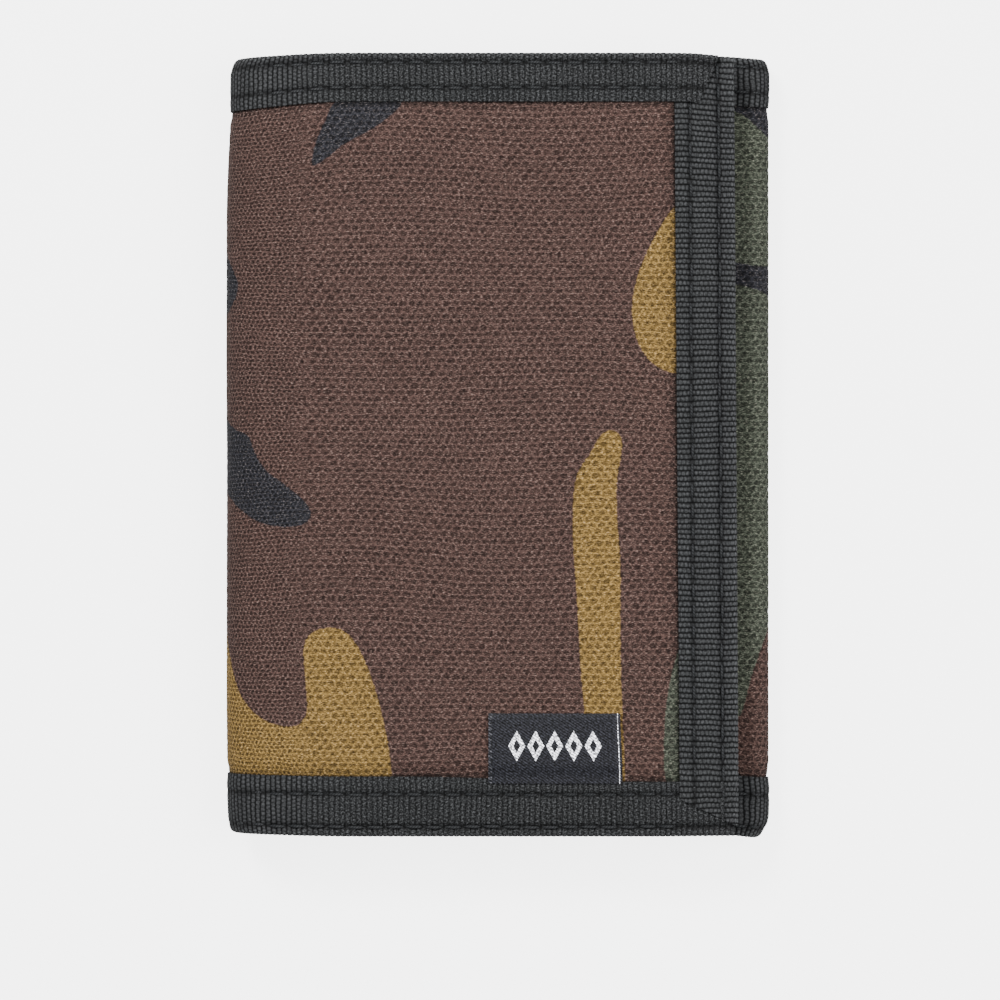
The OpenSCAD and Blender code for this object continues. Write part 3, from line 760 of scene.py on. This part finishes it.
def make_card_pockets(material, thread):
    """Three staggered card pockets on the back panel, each with a turned hem, and their seams."""
    rows = []
    for name in ("card_pocket_high", "card_pocket_middle", "card_pocket_low"):
        low, high = cad_box(name)
        depth = (low[2] + high[2]) / 2
        piece = make_panel(f"{name}_cloth", low, high, depth, 0.36, back_q, 1, BACK_PART, material,
                           0.12, [name])
        make_panel(f"{name}_hem", (low[0], high[1] - 4.0), (high[0], high[1] + 0.15), depth + 0.1, 0.5, back_q,
                   1, BACK_PART, material, 0.08)
        rows += [(back_q(low[0] + 1), high[1] - 3.2, back_q(high[0] - 1), high[1] - 3.2, depth + 0.42)]
    top = high[2] + 0.06
    full = cad_box("card_pocket_high")[1][1]
    for x in (low[0] + 1.0, high[0] - 1.0):
        rows += [(back_q(x), low[1] + 0.6, back_q(x), high[1] - 4.4, top)]
        rows += [(back_q(x), high[1] + 0.6, back_q(x), full - 4.4, top - 0.5)]
    mesh = dashes("card_pocket_threads", rows, radius=0.16)
    add_piece(mesh, thread, BACK_PART, ["card_pocket_stitching"])


def make_coin_pocket(material, thread):
    """Coin pocket inside the front flap: panel and strip beside the zip, with their seams."""
    rows = []
    for name, swell in (("coin_pocket_panel", -0.35), ("coin_pocket_fold_strip", 0.0)):
        low, high = cad_box(name)
        depth = FRONT_TOP - (low[2] + high[2]) / 2
        piece = make_panel(f"{name}_cloth", low, high, depth, 0.4, front_q, 1, FRONT_PART, material,
                           swell, [name])
        top, inset = depth + 0.22, 1.2
        x0, x1, y0, y1 = low[0] + inset, high[0] - inset, low[1] + inset, high[1] - inset
        rows += [(x0, y0, x0, y1, top)]
        if name == "coin_pocket_panel":
            rows += [(x0, y0, x1, y0, top), (x0, y1, x1, y1, top), (x1, y0, x1, y1, top)]
    mesh = dashes("coin_pocket_threads", rows, radius=0.14)
    add_piece(mesh, thread, FRONT_PART, ["coin_pocket_stitching"])


def make_gusset(material):
    """Walls of the coin pocket: a band round the gusset's box, bellying inward by 0.5 half way down."""
    low, high = cad_box("coin_pocket_gusset")
    top, foot = FRONT_TOP - high[2], FRONT_TOP - low[2]
    corner = np.array([(low[0], low[1]), (high[0], low[1]), (high[0], high[1]), (low[0], high[1])])
    sides = [np.linspace(corner[i], corner[(i + 1) % 4], 60, endpoint=False) for i in range(4)]
    loop = np.vstack([*sides, corner[:1]])
    centre = corner.mean(0)
    half = (corner[2] - corner[0]) / 2

    def gusset_face(i, w, inner):
        inset = 0.15 + 0.5 * np.sin(math.pi * w) + (0.45 if inner else 0.0)
        xy = centre + (loop[i.astype(int)] - centre) * (1 - inset[..., None] / half)
        return place(xy[..., 0], xy[..., 1], top + (foot - top) * w)

    mesh = closed_sheet("coin_pocket_gusset_cloth", gusset_face, np.arange(len(loop)), np.linspace(0, 1, 7), 1,
                        lambda i, w: (i, w * 3))
    add_piece(mesh, material, FRONT_PART, ["coin_pocket_gusset"])


def make_label(material):
    """Folded woven label on the front flap, caught in the bottom binding, its free corners lifting a little."""
    low, high = cad_box("woven_label")
    mid, half = (low[0] + high[0]) / 2, (high[0] - low[0]) / 2

    def face(x, y, inner):
        up = ramp(y, BOTTOM_SEAM, high[1])
        wide = (x - mid) / half
        slanted = x + 0.35 * (1 - up) * ramp(wide, 0, 1)
        drop = 0.25 * ramp(abs(wide), 0.9, 1) + 0.22 * ramp(y, high[1] - 0.7, high[1])
        rise = 0.10 + 0.22 * up * wide**2 - 0.45 * (1 - ramp(y, BOTTOM_SEAM - 0.2, BOTTOM_SEAM + 2.0))
        return place(slanted, y, -rise - (0.0 if inner else 0.5 - drop))

    xs, ys = edged_line(low[0], high[0], 0.1, 0.3), grid_line(BOTTOM_SEAM - 1.0, high[1], 0.28)
    mesh = closed_sheet("woven_label_cloth", face, xs, ys, 1, lambda x, y: (x - low[0], y - BOTTOM_SEAM))
    add_piece(mesh, material, FRONT_PART, ["woven_label"])


# ---------------------------------------------------------------- hook and loop

BRISTLE_RADIUS, PATCH_GROUND = 0.09, 0.45


def bristles(base, seed, height, span, open_end):
    """Tiny bent filaments on a patch: each follows half an ellipse, and stops short of the ground if open_end.

    Gives q, y and the rise above the ground for every filament, ring and corner.
    """
    rng = np.random.default_rng(seed)
    count = len(base)
    turn = rng.choice([0.0, math.pi], count) if open_end else rng.uniform(0, 2 * math.pi, count)
    sweep = np.linspace(0.0, (1.25 if open_end else 1.15) * math.pi, 7)
    tall = height * rng.uniform(0.75, 1.0, count)
    wide = span * rng.uniform(0.8, 1.2, count)
    along = wide[:, None] * (1 - np.cos(sweep)) / 2 - wide[:, None] / 2
    rise = tall[:, None] * np.maximum(np.sin(sweep), 0.35 * (sweep > 2) if open_end else -0.15)
    ring = np.linspace(0, 2 * math.pi, 4, endpoint=False)
    side, lift = BRISTLE_RADIUS * np.cos(ring), BRISTLE_RADIUS * np.sin(ring)
    a = along[:, :, None] - lift * np.cos(sweep)[None, :, None]
    r = rise[:, :, None] + lift * np.abs(np.sin(sweep))[None, :, None]
    cos, sin = np.cos(turn)[:, None, None], np.sin(turn)[:, None, None]
    return base[:, 0][:, None, None] + a * cos - side * sin, base[:, 1][:, None, None] + a * sin + side * cos, r


def make_patch(node, material, part, q_of, outward, count, height, span, open_end, seed):
    """A hook or loop patch: woven ground cloth and a field of filaments standing towards the other patch."""
    low, high = cad_box(node)
    near, far = (FRONT_TOP if part is FRONT_PART else TUCK_TOP) - np.array([high[2], low[2]])
    base_mid = near + PATCH_GROUND / 2 if outward > 0 else far - PATCH_GROUND / 2
    make_panel(f"{node}_ground", low, high, base_mid, PATCH_GROUND, q_of, outward, part, material,
               replaces=[node])
    rng = np.random.default_rng(seed)
    columns = max(4, int(math.sqrt(count * (high[0] - low[0]) / (high[1] - low[1]))))
    xs = np.linspace(low[0] + 1, high[0] - 1, columns)
    gx, gy = np.meshgrid(xs, np.linspace(low[1] + 1, high[1] - 1, count // columns))
    base = np.stack([q_of(gx.ravel()), gy.ravel()], 1) + rng.normal(0, 0.1 if open_end else 0.5, (gx.size, 2))
    q, y, rise = bristles(base, seed + 1, height, span, open_end)
    points = place(q, y, base_mid + outward * (PATCH_GROUND / 2 + rise))
    chart = np.stack([q.ravel(), y.ravel()], 1)
    mesh = mesh_from(f"{node}_filaments", points.reshape(-1, 3), tube_faces(points), chart)
    add_piece(mesh, material, part, [node])


# ---------------------------------------------------------------- shader tools

class Graph:
    """Short ways to add nodes to one shader node tree; all but node and group give the new node's output."""

    def __init__(self, tree):
        self.tree = tree

    def feed(self, value, socket):
        """Joins an output to a socket, or fills the socket with a plain value."""
        if isinstance(value, bpy.types.NodeSocket):
            self.tree.links.new(value, socket)
        else:
            socket.default_value = value

    def give(self, sockets, **values):
        """Feeds several sockets by name, with _ for a space."""
        for key, value in values.items():
            self.feed(value, sockets[key.replace("_", " ")])

    def node(self, kind, inputs=None, **settings):
        """A node with its properties set and its inputs fed."""
        node = self.tree.nodes.new("ShaderNode" + kind)
        for name, value in settings.items():
            setattr(node, name, value)
        for key, value in (inputs or {}).items():
            self.feed(value, node.inputs[key])
        return node

    def group(self, name, vector, **values):
        """The outputs of one of the shared groups, fed with vector and its own values."""
        node = self.node("Group", node_tree=GROUPS[name])
        self.give(node.inputs, Vector=vector, **values)
        return node.outputs

    def calc(self, operation, *terms):
        """One Math node."""
        return self.node("Math", dict(enumerate(terms)), operation=operation).outputs[0]

    def plus(self, a, b):
        """a + b."""
        return self.calc("ADD", a, b)

    def less(self, a, b):
        """a - b."""
        return self.calc("SUBTRACT", a, b)

    def mul(self, a, b):
        """a * b."""
        return self.calc("MULTIPLY", a, b)

    def mul_add(self, a, b, c):
        """a * b + c."""
        return self.calc("MULTIPLY_ADD", a, b, c)

    def zigzag(self, value):
        """1 on whole numbers, falling evenly to 0 half way between them."""
        return self.calc("ABSOLUTE", self.mul_add(self.calc("FRACT", value), 2.0, -1.0))

    def odd(self, whole):
        """1 for an odd whole number, 0 for an even one."""
        return self.calc("MODULO", self.calc("ABSOLUTE", whole), 2.0)

    def remap(self, value, low, high, to_low=0.0, to_high=1.0):
        """A smooth Map Range node."""
        inputs = {"Value": value, "From Min": low, "From Max": high, "To Min": to_low, "To Max": to_high}
        return self.node("MapRange", inputs, interpolation_type="SMOOTHSTEP").outputs["Result"]

    def change(self, shade, mask, amount):
        """A shade times 1 + amount where the mask is 1."""
        return self.mul(shade, self.mul_add(mask, amount, 1.0))

    def mix(self, factor, a, b, mode="MIX"):
        """A colour Mix node."""
        return self.node("Mix", {0: factor, 6: a, 7: b}, data_type="RGBA", blend_type=mode).outputs[2]

    def tint(self, colour, shade):
        """A colour times a shade."""
        grey = self.node("CombineColor", {0: shade, 1: shade, 2: shade}).outputs[0]
        return self.mix(1.0, colour, grey, "MULTIPLY")

    def noise(self, vector, scale, detail=2.0, roughness=0.5):
        """A Noise Texture node."""
        inputs = {"Vector": vector, "Scale": scale, "Detail": detail, "Roughness": roughness}
        return self.node("TexNoise", inputs).outputs["Fac"]

    def bump(self, height, strength, distance):
        """The normal that a height makes, distance in millimetres."""
        inputs = {"Height": height, "Strength": strength, "Distance": distance * MM}
        return self.node("Bump", inputs).outputs["Normal"]

    def axes(self, vector):
        """x and y of a vector."""
        return self.node("SeparateXYZ", {0: vector}).outputs[:2]

    def stretched(self, vector, x, y, z=1.0):
        """A vector scaled along each axis."""
        return self.node("Mapping", {"Vector": vector, "Scale": (x, y, z)}).outputs[0]

    def chart(self):
        """The piece's own thread chart."""
        return self.node("UVMap", uv_map="threads").outputs["UV"]

    def object_mm(self):
        """Object coordinates in millimetres."""
        return self.stretched(self.node("TexCoord").outputs["Object"], 1000, 1000, 1000)

    def mark(self, name):
        """One of the piece's point attributes."""
        return self.node("Attribute", attribute_name=name).outputs["Fac"]


def new_group(name, outputs, **numbers):
    """A shader node group fed with a vector and named numbers: its graph, its inputs and its outputs."""
    tree = bpy.data.node_groups.new(name, "ShaderNodeTree")
    tree.interface.new_socket("Vector", in_out="INPUT", socket_type="NodeSocketVector")
    for label, value in numbers.items():
        label = label.replace("_", " ")
        socket = tree.interface.new_socket(label, in_out="INPUT", socket_type="NodeSocketFloat")
        socket.default_value = value
    for label in outputs:
        tree.interface.new_socket(label, in_out="OUTPUT", socket_type="NodeSocketFloat")
    return Graph(tree), tree.nodes.new("NodeGroupInput").outputs, tree.nodes.new("NodeGroupOutput").inputs


def cell_group():
    """Canvas weave in chart cells.

    Pit is 1 in the middle of each staggered pit, Fleck marks bright loose fibres that the canvas also uses as
    painted glints, Fibre is the yarn's fuzz and Column is 1 between two columns of pits.
    """
    g, given, out = new_group("canvas weave", ("Pit", "Fleck", "Fibre", "Column"))
    vector = given["Vector"]
    x, y = g.axes(vector)
    wobble = g.less(g.noise(vector, 1.7, 3.0, 0.6), 0.5)
    v = g.mul_add(wobble, 0.9, y)
    row = g.calc("FLOOR", v)
    u = g.mul_add(g.odd(row), 0.5, g.mul_add(wobble, 0.9, x))
    sides = g.mul(g.calc("POWER", g.zigzag(u), 1.9), 0.95)
    reach = g.plus(sides, g.calc("POWER", g.zigzag(v), 2.3))
    cell = g.node("CombineXYZ", {"X": g.calc("FLOOR", u), "Y": row}).outputs[0]
    luck = g.node("TexWhiteNoise", {"Vector": cell}).outputs["Value"]
    fibre = g.noise(g.stretched(vector, 3.6, 6.4), 1.0, 2.0, 0.7)
    g.give(out, Pit=g.mul(g.remap(reach, 0.1, 1.2, 1.0, 0.0), g.mul_add(luck, 0.3, 0.7)),
           Fleck=g.remap(fibre, 0.58, 0.68), Fibre=fibre,
           Column=g.zigzag(g.mul_add(wobble, 0.5, g.mul(x, 2.0))))
    return g.tree


def rib_group():
    """Grosgrain in chart ribs: Bead is 1 on each bead of yarn and 0 in the valleys between ribs."""
    g, given, out = new_group("webbing ribs", ("Bead", "Fibre"))
    x, y = g.axes(given["Vector"])
    bead_at = g.mul_add(g.odd(g.calc("FLOOR", x)), 0.5, y)
    rib = g.less(1.0, g.calc("POWER", g.zigzag(x), 2.2))
    bead = g.less(1.0, g.mul(g.calc("POWER", g.zigzag(bead_at), 2.0), 0.6))
    g.give(out, Bead=g.mul(rib, bead), Fibre=g.noise(g.stretched(given["Vector"], 2.0, 1.7), 1.1, 2.0, 0.7))
    return g.tree


def plain_group():
    """Plain weave on a vector in millimetres: Height is the woven threads' crowns, Fibre their fuzz."""
    g, given, out = new_group("plain weave", ("Height", "Fibre"), Threads_per_mm=3.0)
    threads = g.node("VectorMath", {0: given["Vector"], "Scale": given["Threads per mm"]},
                     operation="SCALE").outputs[0]
    x, y = g.axes(threads)
    checker = g.odd(g.plus(g.calc("FLOOR", x), g.calc("FLOOR", y)))
    crown_x, crown_y = (g.less(1.0, g.calc("POWER", g.zigzag(axis), 2.0)) for axis in (x, y))
    over = g.mul(g.less(1.0, checker), crown_x)
    g.give(out, Height=g.mul_add(checker, crown_y, over), Fibre=g.noise(threads, 1.1, 3.0, 0.6))
    return g.tree


def mottle_group():
    """Slow unevenness of a dyed surface: Factor wanders about 1 by Amount."""
    g, given, out = new_group("dye mottle", ("Factor",), Scale=0.1, Amount=0.1)
    cloud = g.noise(given["Vector"], given["Scale"], 4.0)
    g.give(out, Factor=g.mul_add(g.mul(g.less(cloud, 0.5), given["Amount"]), 2.0, 1.0))
    return g.tree


GROUPS = {"cells": cell_group(), "ribs": rib_group(), "plain": plain_group(), "mottle": mottle_group()}


def new_material(name, roughness, specular, sheen=0.0):
    """A node material: its graph and its Principled BSDF's inputs, with the constants set on them."""
    material = bpy.data.materials.new(name)
    material.use_nodes = True
    g = Graph(material.node_tree)
    into = material.node_tree.nodes["Principled BSDF"].inputs
    g.give(into, Roughness=roughness, Sheen_Weight=sheen, Sheen_Roughness=0.5, Specular_IOR_Level=specular)
    return material, g, into


# ---------------------------------------------------------------- finishes

def rgb(red, green, blue):
    """A linear colour with full alpha."""
    return (red, green, blue, 1.0)


BROWN = rgb(0.0445, 0.0252, 0.0210)
OCHRE = rgb(0.138, 0.0845, 0.0245)
NAVY = rgb(0.0138, 0.0138, 0.0168)
GREEN = rgb(0.0385, 0.0435, 0.032)
# Lightening for pale loose fibres, partly a painted glint on the weave's crowns.
FLECK_AND_GLINT_LIGHT = rgb(0.150, 0.125, 0.108)
CHARCOAL = rgb(0.0140, 0.0145, 0.0150)
THREAD_BLACK = rgb(0.014, 0.015, 0.016)
LABEL_BLACK = rgb(0.0092, 0.0094, 0.0120)
LABEL_WHITE = rgb(0.75, 0.75, 0.80)
LINING_BLACK = rgb(0.0170, 0.0175, 0.0195)
WEAR = rgb(0.12, 0.12, 0.12)
DIAMOND_PITCH, DIAMOND_MID, DIAMOND_HALF, DIAMOND_HOLE = 2.9, 4.7, 1.3, 0.56


def camo_material():
    """Printed canvas: four colours with thread-edged shapes, pits painted darker as shade and ridges lighter as
    light, pale fibre flecks that are partly painted glints, and painted shade along the webbing's edges.

    The weave is a mix of full-size cells and smaller ones; beside the left fold the smaller ones take over.
    """
    material, g, into = new_material("camo canvas", 0.9, 0.12)
    chart = g.chart()
    weave = g.group("cells", chart)
    tight = g.group("cells", g.stretched(chart, 1.9, 1.45))
    mottle = g.group("mottle", chart, Scale=0.1, Amount=0.1)
    strain = g.mark("strain")
    ragged = g.mul_add(g.noise(chart, 1.6), 0.5, -0.25)
    colour = BROWN
    for name, dye in (("green", GREEN), ("ochre", OCHRE), ("navy", NAVY)):
        colour = g.mix(g.remap(g.plus(g.mark(name), ragged), -0.12, 0.16), colour, dye)
    gain = g.mul(g.mul_add(strain, 0.7, 0.3), g.less(tight["Pit"], weave["Pit"]))
    pit = g.plus(weave["Pit"], gain)
    # Painted light and shade: the weave's pits are darkened and the ridges round them lightened, as light would
    # fall on the relief.
    shade = g.mul(g.remap(pit, 0.0, 0.95, 1.47, 0.42), mottle["Factor"])
    shade = g.mul(shade, g.remap(weave["Fibre"], 0.32, 0.68, 0.24, 1.72))
    # Painted shade along the edge of the webbing, where the canvas runs in under it.
    shade = g.change(shade, g.mark("seam"), -0.8)
    # Painted shade in the grooves between the columns of the pulled cloth beside the left fold.
    shade = g.change(shade, g.mul(strain, g.remap(weave["Column"], 0.5, 1.0)), -0.16)
    colour = g.tint(colour, shade)
    # Pale loose fibres, which also stand for painted glints on the crowns, so they are kept out of the pits.
    fibre_fleck_and_glint = g.mul(weave["Fleck"], g.less(1.0, g.mul(pit, 0.6)))
    height = g.mul_add(weave["Fibre"], 0.6, g.mul(pit, -0.6))
    g.give(into, Base_Color=g.mix(g.mul(fibre_fleck_and_glint, 0.8), colour, g.mix(1.0, colour, FLECK_AND_GLINT_LIGHT, "ADD")),
           Roughness=g.remap(pit, 0, 1, 0.78, 0.95), Normal=g.bump(height, 0.7, 0.14))
    return material


def webbing_material():
    """Charcoal grosgrain: crowns painted lighter and valleys painted darker as light and shade, painted shade
    along the stitch rows and a painted highlight round each edge's turn, and flatter ribs where it is felted.
    """
    material, g, into = new_material("binding webbing", 0.75, 0.12)
    chart = g.chart()
    ribs = g.group("ribs", chart)
    mottle = g.group("mottle", chart, Scale=0.12, Amount=0.3)
    felted = g.mark("felted")
    # Painted light and shade: the beads' crowns are lightened and the valleys between the ribs darkened; felting
    # flattens both.
    valley, crown = g.mul_add(felted, 0.45, 0.03), g.mul_add(felted, -0.75, 2.15)
    shade = g.mul(g.remap(ribs["Bead"], 0.0, 1.0, valley, crown), mottle["Factor"])
    shade = g.mul(shade, g.remap(ribs["Fibre"], 0.3, 0.7, 0.4, 1.6))
    speck = g.remap(g.noise(g.stretched(chart, 3.4, 2.7), 1.0, 1.0), 0.36, 0.66, 0.05, 2.3)
    shade = g.mul(shade, g.mul_add(g.mul(felted, 0.85), g.less(speck, 1.0), 1.0))
    # Painted shade along the stitch rows, where the thread pulls the webbing down into a groove.
    shade = g.change(shade, g.mark("sewn"), -0.78)
    # Painted highlight along the webbing's turn round the edge.
    shade = g.change(shade, g.mark("selvedge"), 0.6)
    height = g.mul_add(ribs["Fibre"], 0.25, ribs["Bead"])
    g.give(into, Base_Color=g.tint(CHARCOAL, shade), Roughness=g.remap(ribs["Bead"], 0, 1, 0.9, 0.62),
           Normal=g.bump(height, 0.8, 0.1))
    return material


def cloth_material(name, colour, threads_per_mm, roughness, charted=True, sheen=0.0):
    """Plain woven cloth on the piece's thread chart, or on Object coordinates for a CAD piece, its thread crowns
    painted lighter and the dips between them painted darker as light and shade.
    """
    material, g, into = new_material(name, roughness, 0.15, sheen)
    vector = g.chart() if charted else g.object_mm()
    weave = g.group("plain", vector, Threads_per_mm=threads_per_mm)
    mottle = g.group("mottle", vector, Scale=0.12, Amount=0.25)
    # Painted light and shade: the threads' crowns are lightened and the dips between them darkened.
    shade = g.mul(g.remap(weave["Height"], 0.0, 1.0, 0.35, 1.45), mottle["Factor"])
    height = g.mul_add(weave["Fibre"], 0.3, weave["Height"])
    height = g.mul_add(g.noise(vector, 0.11, 2.0, 0.45), 9.0, height)
    g.give(into, Base_Color=g.tint(colour, shade),
           Roughness=g.remap(weave["Fibre"], 0.3, 0.7, roughness - 0.08, roughness + 0.08),
           Normal=g.bump(height, 0.6, 0.08))
    return material


def thread_material():
    """Twisted sewing thread: slanting plies, with painted shade between them."""
    material, g, into = new_material("sewing thread", 0.6, 0.2)
    x, y = g.axes(g.chart())
    ply = g.zigzag(g.mul_add(x, 2.2, g.mul(y, 1.4)))
    # Painted shade in the grooves between the plies.
    g.give(into, Base_Color=g.tint(THREAD_BLACK, g.remap(ply, 0.0, 1.0, 1.3, 0.5)),
           Roughness=g.remap(ply, 0.0, 1.0, 0.5, 0.8), Normal=g.bump(ply, 0.6, 0.06))
    return material


def label_material():
    """Satin label: fine twill with painted shade in its grooves and painted light on its ridges, a pale line up
    its right edge, stitches up its left, a row of small diamonds.
    """
    material, g, into = new_material("woven label", 0.6, 0.15)
    chart = g.chart()
    x, y = g.axes(chart)
    twill = g.zigzag(g.mul_add(x, 1.5, g.mul(y, 2.3)))
    fibre = g.noise(chart, 3.0, 2.0, 0.6)
    # Painted light and shade on the twill: grooves darkened and ridges lightened; the fibre noise is uneven
    # tone.
    shade = g.mul(g.remap(twill, 0.0, 1.0, 1.6, 0.4), g.remap(fibre, 0.33, 0.7, 0.1, 2.4))
    column = g.calc("DIVIDE", g.less(x, DIAMOND_PITCH), DIAMOND_PITCH)
    across = g.calc("ABSOLUTE", g.mul(g.less(g.calc("FRACT", column), 0.5), DIAMOND_PITCH))
    up = g.calc("ABSOLUTE", g.less(y, DIAMOND_MID))
    spread = g.plus(across, g.mul(up, 0.56))
    diamond = g.remap(spread, DIAMOND_HALF - 0.08, DIAMOND_HALF + 0.04, 1.0, 0.0)
    hollow = g.remap(spread, DIAMOND_HOLE - 0.04, DIAMOND_HOLE + 0.06)
    in_row = g.mul(g.calc("GREATER_THAN", column, 0.0), g.calc("LESS_THAN", column, 5.0))
    motif = g.mul(g.mul(diamond, hollow), in_row)
    edge = g.plus(x, g.mul_add(fibre, 0.16, -0.08))
    line = g.mul(g.remap(edge, 19.70, 19.75), g.remap(edge, 19.80, 19.86, 1.0, 0.0))
    dash = g.calc("GREATER_THAN", g.calc("FRACT", g.mul(y, 1.2)), 0.45)
    stitch = g.mul(g.mul(g.remap(x, 0.62, 0.5), dash), 0.03)
    white = g.calc("MAXIMUM", g.calc("MAXIMUM", motif, line), stitch)
    height = g.mul_add(white, 0.8, g.less(0.5, twill))
    g.give(into, Base_Color=g.mix(white, g.tint(LABEL_BLACK, shade), g.tint(LABEL_WHITE, shade)),
           Roughness=g.remap(fibre, 0.3, 0.7, 0.42, 0.62), Normal=g.bump(height, 0.5, 0.06))
    return material


def object_material(name, colour, metallic, rough_low, rough_high, scale, wear=0.0):
    """Moulded nylon or plated metal on Object coordinates: fine grain, and scuffs that lighten it."""
    material, g, into = new_material(name, (rough_low + rough_high) / 2, 0.5)
    vector = g.object_mm()
    grain = g.noise(vector, scale, 4.0, 0.6)
    scuff = g.remap(g.noise(vector, scale * 0.35, 3.0), 0.55, 0.72)
    base = g.tint(colour, g.remap(grain, 0.3, 0.7, 0.85, 1.15))
    g.give(into, Base_Color=g.mix(g.mul(scuff, wear), base, g.mix(1.0, base, WEAR, "ADD")), Metallic=metallic,
           Roughness=g.remap(grain, 0.3, 0.7, rough_low, rough_high), Normal=g.bump(grain, 0.25, 0.05))
    return material


def film_material():
    """Clear vinyl: a glossy see-through film with slow ripples and a faint haze."""
    material, g, into = new_material("clear vinyl", 0.12, 1.0)
    vector = g.object_mm()
    ripple = g.noise(vector, 0.06)
    g.give(into, Base_Color=g.mix(ripple, rgb(0.045, 0.047, 0.05), rgb(0.07, 0.072, 0.075)),
           Alpha=g.remap(g.noise(vector, 0.3), 0.3, 0.7, 0.13, 0.19),
           Roughness=g.remap(ripple, 0.3, 0.7, 0.06, 0.16), Normal=g.bump(ripple, 0.3, 1.0))
    return material


def dress_cad():
    """Gives the CAD pieces that stay, the zip and the window, their own materials."""
    for names, material in (
        (("zip_coil",), object_material("zip nylon", rgb(0.018, 0.019, 0.020), 0.0, 0.35, 0.55, 3.0)),
        (("zip_top_stops", "zip_bottom_stop", "zip_slider", "zip_puller"),
         object_material("zip metal", rgb(0.20, 0.20, 0.21), 1.0, 0.28, 0.45, 4.0, wear=0.5)),
        (("zip_tape_fold_side", "zip_tape_flap_side", "zip_end_tabs"),
         cloth_material("zip tape", rgb(0.020, 0.021, 0.023), 3.2, 0.8, charted=False)),
        (("photo_window_film",), film_material()),
        (("photo_window_frame",),
         cloth_material("window binding", rgb(0.024, 0.025, 0.028), 2.2, 0.6, charted=False)),
    ):
        for name in names:
            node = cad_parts[name]
            node.data.materials.clear()
            node.data.materials.append(material)


# ---------------------------------------------------------------- studio

FLOOR_HALF, FLOOR_LEVEL = 3.0, -0.0004
FLOOR_GLOW = 3.95
WORLD_LIGHT = 0.7
LAMPS = (("key", (-0.42, 0.55, 0.75), 0.3, 15.0), ("fill", (0.62, 0.05, 0.85), 0.8, 15.0))
VIEW_WIDTH = 0.15326
VIEW_CENTRE = (0.00038, -0.00866)


def make_floor():
    """Pale paper that looks evenly lit from the camera."""
    mesh = bpy.data.meshes.new("studio_floor")
    corners = [(x * FLOOR_HALF, y * FLOOR_HALF, FLOOR_LEVEL) for x, y in ((-1, -1), (1, -1), (1, 1), (-1, 1))]
    mesh.from_pydata(corners, [], [(0, 1, 2, 3)])
    floor = new_object("studio_floor", mesh)
    material, g, into = new_material("studio paper", 0.9, 0.1)
    grain = g.noise(g.node("TexCoord").outputs["Object"], 900.0, 3.0)
    seen = g.node("LightPath").outputs["Is Camera Ray"]
    g.give(into, Base_Color=rgb(0.62, 0.62, 0.62), Emission_Color=rgb(1.0, 1.0, 1.0),
           Emission_Strength=g.mul(g.mul_add(grain, 0.02, FLOOR_GLOW), seen))
    mesh.materials.append(material)


def make_studio():
    """Soft key light from the upper left, fill from the right, and the camera straight above."""
    world = bpy.data.worlds.new("studio")
    world.use_nodes = True
    sky = world.node_tree.nodes["Background"].inputs
    sky["Color"].default_value = rgb(0.95, 0.97, 1.0)
    sky["Strength"].default_value = WORLD_LIGHT
    bpy.context.scene.world = world
    for name, position, size, watts in LAMPS:
        light = bpy.data.lights.new(name, "AREA")
        light.size, light.energy = size, watts
        lamp = new_object(name, light)
        lamp.location = position
        lamp.rotation_euler = (-lamp.location).to_track_quat("-Z", "Y").to_euler()
    camera = new_object("camera", bpy.data.cameras.new("camera"))
    camera.data.lens = 200.0
    distance = VIEW_WIDTH * camera.data.lens / camera.data.sensor_width
    camera.location = (*VIEW_CENTRE, CAD_BOX[1][2] + distance)
    bpy.context.scene.camera = camera


def main():
    """Builds every piece, dresses it and sets up the studio."""
    make_floor()
    make_studio()
    thread = thread_material()
    webbing = webbing_material()
    lining = cloth_material("nylon lining", LINING_BLACK, 1.9, 0.6)
    make_canvas(camo_material())
    make_bindings(webbing)
    make_binding_threads(thread)
    make_label(label_material())
    make_linings(lining)
    make_card_pockets(lining, thread)
    make_coin_pocket(lining, thread)
    make_gusset(lining)
    loop_cloth = cloth_material("loop pile", rgb(0.022, 0.023, 0.025), 1.4, 0.9, sheen=0.05)
    hook_cloth = cloth_material("hook nylon", rgb(0.016, 0.017, 0.018), 1.6, 0.4)
    make_patch("loop_patch", loop_cloth, TUCK_PART, tuck_q, -1, 1700, 0.5, 0.9, False, 61)
    make_patch("hook_patch", hook_cloth, FRONT_PART, front_q, 1, 620, 0.42, 0.5, True, 71)
    dress_cad()


main()
